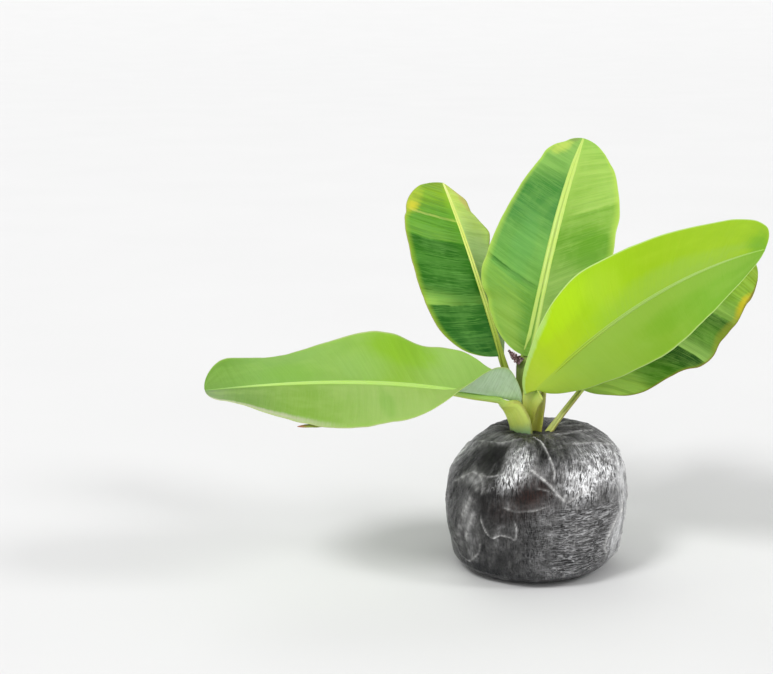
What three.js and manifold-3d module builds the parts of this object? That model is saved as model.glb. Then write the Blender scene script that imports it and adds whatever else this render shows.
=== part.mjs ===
// Young banana plant with five leaves, standing on its wrapped root ball.
// Millimetres, +Z up. The origin is the centre of the root ball's flat underside,
// and the plant is looked at from -Y, with the long level leaf pointing to -X.
import * as THREE from "three";
import Module from "manifold-3d";

const wasm = await Module();
wasm.setup();

const GAP = 0.3; // clear distance between pieces that touch
const STATIONS = 26; // cross sections along one leaf
const RIB_STEPS = 160;
const PETIOLE_RINGS = 16;
const PETIOLE_SIDES = 16;
const BALL_SIDES = 46;
const FLAKE_RINGS = 9;
const FLAKE_SIDES = 8;

// Root ball: a filled, lumpy cylinder with a flat underside and a shallow well round the stem.
const WELL_Z = 112;
const BALL_PROFILE = [
  // height, mean radius, how much further it reaches on the +X side than on the -X side
  { z: 0, r: 60, lean: -1 },
  { z: 3, r: 65, lean: -1 },
  { z: 10, r: 69, lean: 0 },
  { z: 21, r: 71, lean: -1 },
  { z: 36, r: 72, lean: -4 },
  { z: 49, r: 74, lean: -2 },
  { z: 62, r: 74, lean: 0 },
  { z: 77, r: 72, lean: 1 },
  { z: 88, r: 69, lean: 3 },
  { z: 98, r: 64, lean: 7 },
  { z: 107, r: 57, lean: 10 },
  { z: 114, r: 47, lean: 8 },
  { z: 118, r: 36, lean: 4 },
  { z: 117, r: 30, lean: 2 },
  { z: WELL_Z, r: 25, lean: 0 },
  { z: WELL_Z, r: 12, lean: 0 },
];

// Stem: the sheaths are one body up to STEM_TOP and part from there.
const STEM = { x: -7, y: 1, foot: WELL_Z + GAP, top: 122, halfWidth: 15, halfDepth: 12 };
const STEM_TOP = 123;

// Each leaf is a blade on a curved midrib. Angles are degrees, lengths are mm.
// heading: way it points in plan, from +X towards +Y; rise: slope above level; roll: right side up.
// Each half has a greatest width, where along the rib that is (peak), how blunt its two ends are
// (heel, toe), its fold up from the flat at the base and at the tip (and by where it has opened),
// how it curls on towards the margin, and a wave of the margin (height, count, phase).
const CALM = [0, 2, 0];
const LEAVES = [
  {
    name: "left",
    base: [-16, -8, 138],
    length: 264,
    heading: [202, 196],
    rise: [21, 2, -3],
    roll: [18, 24, 19],
    right: { width: 64, peak: 0.52, heel: 1.9, toe: 3.6, fold: [55, -5, 0.32], curl: [3, 9] },
    rightWave: [-13, 1.45, 0.16],
    left: { width: 56, peak: 0.49, heel: 1.45, toe: 2.1, fold: [84, 7, 0.41], curl: [-3, -3] },
    leftWave: [10, 1.17, 0],
    petiole: { foot: [-13, -5, 108], lean: [-0.15, -0.1, 1], footHalf: 8.5, footDeep: 9, deep: 7 },
    rib: { half: 4.5, deep: 6 },
    colour: 0x7fb548,
  },
  {
    name: "right",
    base: [-2, -9, 154],
    length: 225,
    heading: [-5, -32],
    rise: [47, 40, 18],
    roll: [-58, -26],
    right: { width: 50, peak: 0.56, heel: 1.45, toe: 3.2, fold: [-22, -11, 1], curl: [-30, 12] },
    rightWave: CALM,
    left: { width: 60, peak: 0.6, heel: 2, toe: 3.2, fold: [21, 0, 0.8], curl: [8, -2] },
    leftWave: CALM,
    petiole: { foot: [0, -3, 108], lean: [-0.05, -0.05, 1], footHalf: 7, footDeep: 8, deep: 6 },
    rib: { half: 4, deep: 4.5 },
    colour: 0x9ccb2f,
  },
  {
    name: "back",
    base: [-8, 17, 175],
    length: 208,
    heading: [64, 67],
    rise: [68, 62, 42],
    roll: [10, -22],
    right: { width: 56, peak: 0.48, heel: 1.9, toe: 1.55, fold: [12, 6, 1], curl: [-6, -6] },
    rightWave: CALM,
    left: { width: 56, peak: 0.36, heel: 1.4, toe: 1.5, fold: [11, -9, 1], curl: [0, -4] },
    leftWave: CALM,
    petiole: { foot: [-2, 6, 108], lean: [0, 0.1, 1], footHalf: 6, footDeep: 6, deep: 5.5 },
    rib: { half: 4, deep: 4.5 },
    colour: 0x5c9b38,
  },
  {
    name: "back_left",
    base: [-31, 27, 173],
    length: 185,
    heading: [123, 108],
    rise: [58, 50, 28],
    roll: [15, 10],
    right: { width: 51, peak: 0.44, heel: 1.6, toe: 1.8, fold: [-56, -40, 1], curl: [-12, -8] },
    rightWave: CALM,
    left: { width: 54, peak: 0.52, heel: 3.6, toe: 2.35, fold: [5, 19, 1], curl: [0, 0] },
    leftWave: CALM,
    petiole: { foot: [-11, 8, 108], lean: [-0.1, 0.05, 1], footHalf: 5.5, footDeep: 6, deep: 5 },
    rib: { half: 3.5, deep: 4 },
    colour: 0x3f8332,
  },
  {
    name: "back_right",
    base: [36, 17, 148],
    length: 194,
    heading: [38, 12],
    rise: [42, 28, 21],
    roll: [-13, -44],
    right: { width: 56, peak: 0.46, heel: 1.4, toe: 1.5, fold: [-15, -17, 1], curl: [-16, -18] },
    rightWave: [-5, 2.27, -0.07],
    left: { width: 52, peak: 0.5, heel: 1.8, toe: 2.2, fold: [18, 6, 1], curl: [0, 0] },
    leftWave: [2, 2, 0],
    // this petiole leaves the root ball beside the stem
    petiole: { foot: [11.5, 2, 108], lean: [0.45, 0.25, 1], footHalf: 4.5, footDeep: 5.5, deep: 4.5 },
    apart: true,
    rib: { half: 3, deep: 3.5 },
    colour: 0x4c8f36,
  },
];

// A torn strip of the left leaf's near margin, peeling off it towards the tip.
const STRIP = { from: 0.57, to: 0.745, drop: 5.5, width: 6, thick: 2.4 };

// A withered shred of sheath beside the top of the back leaf's petiole.
const SHRED = { from: [-11, 17, 165.5], to: [-23, 19, 178], width: 4.5, thick: 1.6, sag: 1.5 };

const SHEET_SHARE = 0.0105; // blade thickness as a share of the leaf's length
const TIP_HALF = 1.5; // half width the tip is cut off at
const CHANNEL = 0.35; // how deep a petiole is channelled, as a share of its depth

const radians = THREE.MathUtils.degToRad;
const vector = (x, y, z) => new THREE.Vector3(x, y, z);

function smooth(x) {
  const c = Math.min(Math.max(x, 0), 1);
  return c * c * (3 - 2 * c);
}

// A value that changes along the leaf: two entries run straight, three make a quadratic curve.
function along(values, t) {
  if (values.length === 2) return values[0] + (values[1] - values[0]) * t;
  return values[0] * (1 - t) ** 2 + 2 * values[1] * t * (1 - t) + values[2] * t * t;
}

function direction(heading, rise) {
  const a = radians(heading);
  const e = radians(rise);
  return vector(Math.cos(e) * Math.cos(a), Math.cos(e) * Math.sin(a), Math.sin(e));
}

function ribPoints(leaf) {
  const points = [vector(...leaf.base)];
  for (let i = 0; i < RIB_STEPS; i++) {
    const t = (i + 0.5) / RIB_STEPS;
    const step = direction(along(leaf.heading, t), along(leaf.rise, t));
    points.push(points[i].clone().addScaledVector(step, leaf.length / RIB_STEPS));
  }
  return points;
}

// Side and normal of a leaf at t, turned about the rib by its roll.
function leafFrame(leaf, t) {
  const heading = radians(along(leaf.heading, t));
  const ahead = direction(along(leaf.heading, t), along(leaf.rise, t));
  const level = vector(Math.sin(heading), -Math.cos(heading), 0);
  const square = level.clone().cross(ahead);
  const roll = radians(along(leaf.roll, t));
  return {
    side: level.clone().multiplyScalar(Math.cos(roll)).addScaledVector(square, Math.sin(roll)),
    normal: square.clone().multiplyScalar(Math.cos(roll)).addScaledVector(level, -Math.sin(roll)),
  };
}

const ribHalf = (leaf, t) => leaf.rib.half * (1 - t) + 1 * t;

function halfWidth(leaf, half, t) {
  const near = t < half.peak;
  const u = near ? (half.peak - t) / half.peak : (t - half.peak) / (1 - half.peak);
  const w = half.width * Math.sqrt(Math.max(0, 1 - Math.min(u, 1) ** (near ? half.heel : half.toe)));
  return Math.max(w, ribHalf(leaf, t) + (near ? 0.5 : 0), TIP_HALF);
}

// Point of the upper face: sign is +1 for the right half and -1 for the left, s runs rib to margin.
function onLeaf(leaf, sign, t, s) {
  const half = sign > 0 ? leaf.right : leaf.left;
  const at = t * RIB_STEPS;
  const i = Math.min(Math.floor(at), RIB_STEPS - 1);
  const point = leaf.points[i].clone().lerp(leaf.points[i + 1], at - i);
  const { side, normal } = leafFrame(leaf, t);
  const [foldBase, foldTip, opens] = half.fold;
  const fold = radians(foldTip + (foldBase - foldTip) * (1 - smooth(t / opens)));
  const bend = (radians(along(half.curl, t)) * s) / 2;
  const reach = halfWidth(leaf, half, t) * s * (Math.abs(bend) > 1e-6 ? Math.sin(bend) / bend : 1);
  const [height, count, phase] = sign > 0 ? leaf.rightWave : leaf.leftWave;
  const ends = smooth(t / 0.12) * smooth((1 - t) / 0.12);
  const lift = height * s * s * Math.sin(2 * Math.PI * (count * t + phase)) * ends;
  return point
    .addScaledVector(side, sign * reach * Math.cos(fold + bend))
    .addScaledVector(normal, reach * Math.sin(fold + bend) + lift);
}

function leafNormal(leaf, sign, t, s) {
  const e = 0.004;
  const ahead = onLeaf(leaf, sign, Math.min(t + e, 1), s).sub(onLeaf(leaf, sign, Math.max(t - e, 0), s));
  const out = onLeaf(leaf, sign, t, Math.min(s + e, 1)).sub(onLeaf(leaf, sign, t, Math.max(s - e, 0)));
  return out.cross(ahead).multiplyScalar(sign).normalize();
}

function meshOf(vertices, faces) {
  const geometry = new THREE.BufferGeometry();
  const flat = vertices.flatMap((v) => [v.x, v.y, v.z]);
  geometry.setAttribute("position", new THREE.Float32BufferAttribute(flat, 3));
  geometry.setIndex(faces.flat());
  return geometry;
}

// Closed sheet between two grids of points that run row by row, left margin to right margin.
function closedSheet(upper, lower) {
  const rows = upper.length;
  const columns = upper[0].length;
  const vertices = [...upper.flat(), ...lower.flat()];
  const top = (i, j) => i * columns + j;
  const under = (i, j) => rows * columns + i * columns + j;
  const faces = [];
  const quad = (a, b, c, d) => faces.push([a, b, c], [a, c, d]);
  for (let i = 0; i + 1 < rows; i++) {
    for (let j = 0; j + 1 < columns; j++) {
      quad(top(i, j), top(i, j + 1), top(i + 1, j + 1), top(i + 1, j));
      quad(under(i, j), under(i + 1, j), under(i + 1, j + 1), under(i, j + 1));
    }
    const last = columns - 1;
    quad(top(i, 0), top(i + 1, 0), under(i + 1, 0), under(i, 0));
    quad(top(i, last), under(i, last), under(i + 1, last), top(i + 1, last));
  }
  for (let j = 0; j + 1 < columns; j++) {
    quad(top(0, j), under(0, j), under(0, j + 1), top(0, j + 1));
    quad(top(rows - 1, j), top(rows - 1, j + 1), under(rows - 1, j + 1), under(rows - 1, j));
  }
  return meshOf(vertices, faces);
}

// Distances from the rib of one half's columns: two within the rib's own width, four beyond it.
function columnShares(leaf, half, t) {
  const rib = ribHalf(leaf, t);
  const width = halfWidth(leaf, half, t);
  const beyond = [0.25, 0.5, 0.75, 1].map((k) => rib + (width - rib) * k);
  return [rib * 0.6, rib, ...beyond].map((d) => Math.min(d / width, 1));
}

function blade(leaf) {
  leaf.points = ribPoints(leaf);
  const sheet = leaf.length * SHEET_SHARE;
  const upper = [];
  const lower = [];
  for (let i = 0; i <= STATIONS; i++) {
    const t = (1 - Math.cos((Math.PI * i) / STATIONS)) / 2;
    const bulge = leaf.rib.deep * (1 - t) ** 0.8;
    const face = [];
    const back = [];
    const place = (sign, s, extra) => {
      const point = onLeaf(leaf, sign, t, s);
      const normal = leafNormal(leaf, sign, t, s);
      if (s === 0) normal.add(leafNormal(leaf, -sign, t, s)).normalize();
      face.push(point);
      back.push(point.clone().addScaledVector(normal, -sheet - extra));
    };
    const left = columnShares(leaf, leaf.left, t);
    const right = columnShares(leaf, leaf.right, t);
    for (let j = left.length - 1; j >= 0; j--) place(-1, left[j], j === 0 ? bulge * 0.7 : 0);
    place(1, 0, bulge);
    right.forEach((s, j) => place(1, s, j === 0 ? bulge * 0.7 : 0));
    upper.push(face);
    lower.push(back);
  }
  return closedSheet(upper, lower);
}

// Closed body over rings of equally many points, each end closed to the ring's middle.
function loft(rings) {
  const sides = rings[0].length;
  const vertices = rings.flat();
  const faces = [];
  for (let i = 0; i + 1 < rings.length; i++) {
    for (let j = 0; j < sides; j++) {
      const a = i * sides + j;
      const b = i * sides + ((j + 1) % sides);
      faces.push([a, b, b + sides], [a, b + sides, a + sides]);
    }
  }
  const end = (ring, first, turn) => {
    const middle = vector(0, 0, 0);
    ring.forEach((p) => middle.addScaledVector(p, 1 / sides));
    vertices.push(middle);
    for (let j = 0; j < sides; j++) {
      const a = first + j;
      const b = first + ((j + 1) % sides);
      faces.push(turn ? [vertices.length - 1, b, a] : [vertices.length - 1, a, b]);
    }
  };
  end(rings[0], 0, true);
  end(rings[rings.length - 1], (rings.length - 1) * sides, false);
  return meshOf(vertices, faces);
}

// Petiole: a channelled stalk from its foot in the stem to the base of the leaf, grown all round
// by swell to cut the room it needs in its neighbours.
function petiole(leaf, swell = 0) {
  const { foot, lean, footHalf, footDeep, deep } = leaf.petiole;
  const from = vector(...foot);
  const heading = along(leaf.heading, 0);
  const arrive = direction(heading, along(leaf.rise, 0));
  const to = vector(...leaf.base).addScaledVector(arrive, -1.5 * GAP);
  const span = from.distanceTo(to);
  const leave = vector(...lean).normalize().multiplyScalar(span);
  arrive.multiplyScalar(span);
  const level = vector(Math.sin(radians(heading)), -Math.cos(radians(heading)), 0);
  const rings = [];
  for (let i = 0; i <= PETIOLE_RINGS; i++) {
    const u = i / PETIOLE_RINGS;
    const centre = from
      .clone()
      .multiplyScalar(2 * u ** 3 - 3 * u ** 2 + 1)
      .addScaledVector(leave, u ** 3 - 2 * u ** 2 + u)
      .addScaledVector(to, 3 * u ** 2 - 2 * u ** 3)
      .addScaledVector(arrive, u ** 3 - u ** 2);
    const ahead = from
      .clone()
      .multiplyScalar(6 * u ** 2 - 6 * u)
      .addScaledVector(leave, 3 * u ** 2 - 4 * u + 1)
      .addScaledVector(to, 6 * u - 6 * u ** 2)
      .addScaledVector(arrive, 3 * u ** 2 - 2 * u)
      .normalize();
    const flat = level.clone().addScaledVector(ahead, -level.dot(ahead)).normalize();
    const roll = radians(leaf.roll[0]) * smooth(u);
    const square = flat.clone().cross(ahead);
    const side = flat.clone().multiplyScalar(Math.cos(roll)).addScaledVector(square, Math.sin(roll));
    const normal = square.clone().multiplyScalar(Math.cos(roll)).addScaledVector(flat, -Math.sin(roll));
    const half = THREE.MathUtils.lerp(footHalf, leaf.rib.half, smooth(u)) + swell;
    const depth = THREE.MathUtils.lerp(footDeep, deep, smooth(u));
    const ring = [];
    for (let j = 0; j < PETIOLE_SIDES; j++) {
      const a = (-2 * Math.PI * j) / PETIOLE_SIDES;
      const dip = swell > 0 ? 0 : CHANNEL * depth * Math.sin(a) ** 2;
      const up = swell - (Math.sin(a) > 0 ? dip : -Math.sin(a) * (depth + 2 * swell));
      ring.push(centre.clone().addScaledVector(side, half * Math.cos(a)).addScaledVector(normal, up));
    }
    rings.push(ring);
  }
  return loft(rings);
}

// Closed flake with lens-shaped cross sections, from a list of {centre, wide, thin}.
function flake(sections) {
  return loft(
    sections.map(({ centre, wide, thin }) => {
      const ring = [];
      for (let j = 0; j < FLAKE_SIDES; j++) {
        const a = (-2 * Math.PI * j) / FLAKE_SIDES;
        ring.push(centre.clone().addScaledVector(wide, Math.cos(a)).addScaledVector(thin, Math.sin(a)));
      }
      return ring;
    }),
  );
}

function tornStrip(leaf) {
  const sections = [];
  for (let i = 0; i <= FLAKE_RINGS; i++) {
    const u = i / FLAKE_RINGS;
    const t = THREE.MathUtils.lerp(STRIP.from, STRIP.to, u);
    const normal = leafNormal(leaf, -1, t, 0.95);
    const out = onLeaf(leaf, -1, t, 1).sub(onLeaf(leaf, -1, t, 0.9)).normalize();
    const centre = onLeaf(leaf, -1, t, 0.96).addScaledVector(normal, (-leaf.length * SHEET_SHARE) / 2);
    centre.z -= STRIP.drop * u ** 1.5;
    const half = (STRIP.width / 2) * Math.sqrt(1 - u) + 0.3;
    const thick = (STRIP.thick / 2) * (1 - 0.6 * u);
    sections.push({ centre, wide: out.multiplyScalar(half), thin: normal.multiplyScalar(-thick) });
  }
  return flake(sections);
}

function sheathShred() {
  const from = vector(...SHRED.from);
  const to = vector(...SHRED.to);
  const ahead = to.clone().sub(from).normalize();
  const across = vector(0, 1, 0).addScaledVector(ahead, -ahead.y).normalize();
  const flat = ahead.clone().cross(across);
  const sections = [];
  for (let i = 0; i <= FLAKE_RINGS; i++) {
    const u = i / FLAKE_RINGS;
    const centre = from.clone().lerp(to, u);
    centre.z -= SHRED.sag * Math.sin(Math.PI * u);
    const half = (SHRED.width / 2) * (1 - 0.75 * u ** 2);
    const wide = flat.clone().applyAxisAngle(ahead, 0.7 * u).multiplyScalar(half);
    const thin = across.clone().applyAxisAngle(ahead, 0.7 * u).multiplyScalar(SHRED.thick / 2);
    sections.push({ centre, wide, thin });
  }
  return flake(sections);
}

// Low lumps of a filled bag: a few slow waves round it and up it.
function lump(angle, z) {
  const up = (z / 118) * Math.PI;
  const waves =
    1.1 * Math.cos(3 * angle + 0.8) * Math.sin(up) +
    0.9 * Math.cos(5 * angle - 1.1 + 1.4 * Math.cos(up)) * Math.sin(up) +
    0.6 * Math.cos(8 * angle + 3 * up);
  return waves * smooth(z / 12);
}

function rootBall() {
  const rings = BALL_PROFILE.map(({ z, r, lean }, k) => {
    const ring = [];
    for (let j = 0; j < BALL_SIDES; j++) {
      const a = (2 * Math.PI * j) / BALL_SIDES;
      const inWell = k >= BALL_PROFILE.length - 3;
      const radius = r + (lean / 2) * Math.cos(a) + (inWell ? 0 : lump(a, z));
      ring.push(vector(radius * Math.cos(a), radius * Math.sin(a), z));
    }
    return ring;
  });
  return loft(rings);
}

function stemCore() {
  const rings = [0, 0.35, 0.7, 1].map((u) => {
    const ring = [];
    const share = 1 - 0.16 * u;
    for (let j = 0; j < 24; j++) {
      const a = (2 * Math.PI * j) / 24;
      ring.push(
        vector(
          STEM.x + STEM.halfWidth * share * Math.cos(a),
          STEM.y + STEM.halfDepth * share * Math.sin(a),
          THREE.MathUtils.lerp(STEM.foot, STEM.top, u),
        ),
      );
    }
    return ring;
  });
  return loft(rings);
}

function solid(geometry) {
  return new wasm.Manifold(
    new wasm.Mesh({
      numProp: 3,
      vertProperties: geometry.getAttribute("position").array,
      triVerts: new Uint32Array(geometry.index.array),
    }),
  );
}

function largest(body) {
  return body.decompose().sort((a, b) => b.volume() - a.volume())[0];
}

function geometryOf(body) {
  const mesh = body.getMesh();
  const geometry = new THREE.BufferGeometry();
  const flat = new Float32Array(mesh.numVert * 3);
  for (let i = 0; i < mesh.numVert; i++) {
    flat.set(mesh.vertProperties.subarray(i * mesh.numProp, i * mesh.numProp + 3), i * 3);
  }
  geometry.setAttribute("position", new THREE.BufferAttribute(flat, 3));
  geometry.setIndex(new THREE.BufferAttribute(mesh.triVerts, 1));
  return geometry;
}

// Indexed box between two heights, wide enough to hold the whole plant.
function slab(low, high) {
  const corner = (x, y, z) => vector(x * 400, y * 400, z);
  const ring = (z) => [corner(1, 1, z), corner(-1, 1, z), corner(-1, -1, z), corner(1, -1, z)];
  return solid(loft([ring(low), ring(high)]));
}

const group = new THREE.Group();
group.name = "banana_plant";

function add(name, geometry, colour, roughness) {
  const material = new THREE.MeshStandardMaterial({ color: colour, roughness, metalness: 0 });
  const mesh = new THREE.Mesh(geometry, material);
  geometry.computeVertexNormals();
  mesh.name = name;
  group.add(mesh);
}

add("root_ball", rootBall(), 0x3b3a3c, 0.3);

const inStem = slab(STEM.foot, STEM_TOP);
const aboveStem = slab(STEM_TOP + GAP, 400);
const aboveBall = slab(WELL_Z + GAP, 400);
let stem = solid(stemCore());
const taken = [];
for (const leaf of LEAVES) {
  const whole = solid(petiole(leaf));
  if (!leaf.apart) stem = stem.add(whole.intersect(inStem));
  let stalk = whole.intersect(leaf.apart ? aboveBall : aboveStem);
  for (const other of taken) stalk = stalk.subtract(other);
  const room = solid(petiole(leaf, GAP));
  taken.push(room);
  if (leaf.apart) stem = stem.subtract(room);
  add("petiole_" + leaf.name, geometryOf(largest(stalk)), 0x97ab45, 0.45);
  let sheet = solid(blade(leaf));
  if (leaf.name === "left") sheet = sheet.add(solid(tornStrip(leaf)));
  add("leaf_" + leaf.name, geometryOf(largest(sheet)), leaf.colour, 0.42);
}
add("pseudostem", geometryOf(largest(stem)), 0x9db24e, 0.5);

let shred = solid(sheathShred());
for (const room of taken) shred = shred.subtract(room);
add("sheath_shred", geometryOf(largest(shred)), 0x6d5348, 0.8);

export default group;
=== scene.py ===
import math

import bpy
import numpy as np
from mathutils import Matrix, Vector


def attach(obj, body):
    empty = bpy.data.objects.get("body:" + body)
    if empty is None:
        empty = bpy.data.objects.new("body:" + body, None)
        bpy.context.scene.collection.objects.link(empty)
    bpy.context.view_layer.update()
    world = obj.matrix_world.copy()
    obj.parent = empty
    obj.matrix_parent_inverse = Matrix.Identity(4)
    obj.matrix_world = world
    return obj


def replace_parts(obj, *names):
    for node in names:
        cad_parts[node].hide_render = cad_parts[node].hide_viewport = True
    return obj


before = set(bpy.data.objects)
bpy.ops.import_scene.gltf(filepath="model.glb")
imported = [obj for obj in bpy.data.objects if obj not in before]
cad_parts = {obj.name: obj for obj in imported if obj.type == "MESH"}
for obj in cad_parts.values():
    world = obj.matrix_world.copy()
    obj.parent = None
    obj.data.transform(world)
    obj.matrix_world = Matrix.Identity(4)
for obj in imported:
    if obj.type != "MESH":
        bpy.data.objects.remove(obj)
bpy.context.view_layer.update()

MM = 0.001

# The plant's own sizes, in millimetres and degrees, as in its solids. A blade runs from its base along the
# midrib; heading, rise and roll change along it, and sweep is how far its side veins lean towards the tip,
# near the base and near the tip. Each half has its greatest width at peak, narrows to heel and toe with
# these powers, folds about the midrib (at the base, at the tip, where it has opened), curls, waves (height,
# how many, phase) and swells (place, reach, wider, higher); back is how far its base corner runs back.
LEAVES = {
    "left": dict(
        base=(-16, -8, 138), length=264, heading=(202, 196), rise=(21, 2, -3), roll=(18, 24, 19),
        right=dict(
            width=64, peak=0.52, heel=1.9, toe=3.6, fold=(55, -5, 0.32), curl=(3, 9),
            wave=(-13, 1.45, 0.16), swells=[(0.2, 0.07, 3.4, 0), (0.31, 0.05, -1, 0)]),
        left=dict(
            width=56, peak=0.49, heel=1.45, toe=2.1, fold=(84, 7, 0.41), curl=(-3, -3), wave=(10, 1.17, 0)),
    ),
    "right": dict(
        base=(-2, -9, 154), length=223.5, heading=(-5, -32), rise=(47, 40, 18), roll=(-58, -26),
        right=dict(width=50, peak=0.56, heel=1.32, toe=3.2, fold=(-22, -11, 1), curl=(-30, 12)),
        left=dict(
            width=60, peak=0.6, heel=1.42, toe=5, fold=(21, 0, 0.8), curl=(8, -2), back=11,
            swells=[(0.33, 0.13, 4.5, 0), (0.975, 0.02, 1.6, 0)]),
    ),
    "back": dict(
        base=(-8, 17, 175), length=208, sweep=(23, 23), heading=(64, 67), rise=(68, 62, 42), roll=(10, -22),
        right=dict(
            width=56, peak=0.48, heel=1.9, toe=1.55, fold=(12, 6, 1), curl=(-6, -6),
            swells=[(0.55, 0.07, -1.5, 1), (0.45, 0.06, 0.8, -1.5)]),
        left=dict(
            width=56, peak=0.36, heel=1.4, toe=1.5, fold=(11, -9, 1), curl=(0, -4),
            swells=[
                (0.92, 0.045, 3, 0), (0.968, 0.012, -1.8, 0), (0.3, 0.06, 2.2, 1.5), (0.22, 0.03, -1, -1)]),
    ),
    "back_left": dict(
        base=(-31, 27, 173), length=188.5, sweep=(2, 20),
        heading=(123, 108), rise=(58, 50, 28), roll=(15, 10),
        right=dict(
            width=51, peak=0.44, heel=1.6, toe=1.8, fold=(-56, -40, 1), curl=(-12, -8),
            swells=[(0.95, 0.03, 5, 1), (0.88, 0.03, -2, -1), (0.77, 0.05, 7, 2.5), (0.62, 0.05, -2, -2)]),
        left=dict(
            width=54, peak=0.52, heel=3.6, toe=2.35, fold=(5, 19, 1), curl=(0, 0),
            swells=[(0.78, 0.02, -1, -1.2), (0.4, 0.03, 0.8, 1.2), (0.33, 0.02, -0.8, -1.2)]),
    ),
    "back_right": dict(
        base=(36, 17, 148), length=194, sweep=(27, 27), heading=(38, 12), rise=(42, 28, 21), roll=(-13, -44),
        right=dict(
            width=56, peak=0.46, heel=1.4, toe=1.5, fold=(-15, -17, 1), curl=(-16, -18),
            wave=(-5, 2.27, -0.07),
            swells=[(0.66, 0.04, -1.6, 1), (0.78, 0.04, 1.2, -1), (0.87, 0.03, -1, 1)]),
        left=dict(width=52, peak=0.5, heel=1.8, toe=2.2, fold=(18, 6, 1), curl=(0, 0), wave=(2, 2, 0)),
    ),
}

# Each stalk runs from its foot in the wrap (run -1) by the blade's base (0) to the tip (1). foot, lean and
# side give its place, direction and broad side at the foot; join is where it meets the rib's own curve,
# pull how stiffly it leaves the foot and meets the rib, twist where it turns into the blade's own frame.
# half, deep, groove, shift and sink are its half width, depth, channel depth, and how far it sits to
# one side and below the blade, by run; proud is how far the rib's lips stand out of it.
STALKS = {
    "left": dict(
        foot=(-13.6, -5, 108), lean=(0.08, -0.05, 1), side=(-0.95, 0.3, 0),
        join=0.085, pull=(1.5, 0.95), twist=(0.62, 1),
        half=[
            (-1, 9.6), (-0.6, 9.6), (-0.3, 9.2), (-0.1, 7.8), (0.1, 4.8), (0.3, 3.4), (0.7, 2.4), (0.88, 1.3),
            (0.95, 0.7), (1, 0.5)],
        deep=[
            (-1, 7), (-0.5, 7.4), (-0.22, 7.6), (-0.08, 7), (0.06, 5), (0.16, 4), (0.4, 3.8), (0.8, 2.6),
            (1, 0.9)],
        groove=[(-1, 4), (0, 2.4), (0.1, 1), (0.4, 0.6), (1, 0.1)],
        shift=[(-1, 0.3), (-0.5, -0.8), (-0.25, -2.4), (-0.05, -2), (0.1, 0), (1, 0)],
        sink=[(-1, 0), (-0.5, 0), (-0.2, -1.5), (-0.08, -2.4), (0.02, -4), (0.06, -4), (0.16, 0), (1, 0)],
    ),
    "right": dict(
        foot=(-9, 0, 108), lean=(0.05, -0.05, 1), side=(1, -0.1, 0),
        join=0.0, pull=(1.0, 0.7), twist=(0.3, 1),
        half=[
            (-1, 3.6), (-0.75, 3.8), (-0.5, 5.8), (-0.25, 9.4), (-0.08, 11), (-0.045, 9.5), (-0.01, 5),
            (0.03, 2.6), (0.08, 1.9), (0.3, 1.8), (0.7, 1.6), (0.95, 1), (1, 0.7)],
        deep=[(-1, 5), (-0.4, 5), (0, 4.5), (0.1, 5), (0.5, 3.6), (1, 0.8)],
        groove=[(-1, 2), (-0.4, 3.5), (-0.1, 3.5), (0.04, 1.2), (0.3, 0.6), (1, 0.1)],
        shift=[
            (-1, 0.5), (-0.5, 1), (-0.2, 0.5), (-0.08, -1), (-0.01, -4.5), (0.03, -1.5), (0.08, 0), (1, 0)],
        sink=[(-1, 0), (-0.06, 0), (0.01, 2), (0.06, 1.2), (0.14, 0), (1, 0)], proud=0.35,
    ),
    "back": dict(
        foot=(-9, 9, 108), lean=(-0.1, 0.04, 1), side=(0.95, -0.3, 0), join=0.0, pull=(1, 0.9),
        half=[
            (-1, 5.5), (-0.4, 7), (-0.1, 8.2), (0.04, 6), (0.3, 4.5), (0.6, 4), (0.85, 2.9), (0.97, 1.3),
            (1, 0.7)],
        deep=[(-1, 6), (0, 6), (0.1, 5.6), (0.5, 3.8), (1, 0.8)],
        groove=[(-1, 2.5), (0, 2.2), (0.08, 1.3), (0.4, 0.9), (1, 0.15)],
        shift=[(-1, 0), (-0.45, -2.4), (-0.12, -4), (0.0, -3), (0.08, 0), (1, 0)],
    ),
    "back_left": dict(
        foot=(-12, 9, 108), lean=(-0.12, 0.08, 1), side=(0.5, -0.85, 0), join=0.0, pull=(1, 1),
        half=[(-1, 4.6), (-0.4, 3.6), (0, 3), (0.3, 2.4), (0.6, 2.1), (0.83, 1.7), (0.95, 1.2), (1, 0.7)],
        deep=[(-1, 5.5), (0, 5), (0.4, 4), (1, 0.8)],
        groove=[(-1, 2), (0, 1.8), (0.15, 1), (0.5, 0.8), (1, 0.15)],
    ),
    "back_right": dict(
        foot=(4, -2, 108.5), lean=(0.62, 0.2, 1), side=(0.6, -0.75, 0), join=0.0, pull=(0.9, 0.9),
        half=[(-1, 4.2), (-0.6, 2.9), (0, 2.5), (0.3, 2.4), (0.7, 2.1), (0.95, 1.1), (1, 0.7)],
        deep=[(-1, 4.2), (-0.5, 3.4), (0, 3.4), (0.3, 3.2), (1, 0.8)],
        groove=[(-1, 1.8), (0, 1.6), (0.15, 0.9), (0.5, 0.6), (1, 0.1)],
    ),
}
BALL_HEIGHT = 118
# The wrapped bag: height, mean radius, and how much further it reaches to +X than to -X. The film closes
# in over the top as far as the stalks.
BALL_PROFILE = np.array([
    (0, 50, -9), (3, 57, -9), (10, 66, -7), (21, 70.5, -4), (36, 72.8, -6), (49, 75, -4.5), (62, 75, -2.5),
    (77, 73, -1), (88, 69.5, 2), (98, 64, 7), (107, 57, 10), (114, 47, 8), (117.6, 36, 4), (117.4, 27, 3),
    (116, 18, 2), (114.5, 10, 0), (114, 3, 0),
], float)
# The torn strip starts and ends at these places along the left leaf; the shred runs from the stem.
STRIP = dict(start=0.672, end=0.752, drop=4.4, width=3.3)
SHRED = dict(start=(-14.2, 16, 170.6), end=(-25.4, 18, 180), width=7.8, sag=1.2)

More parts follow.
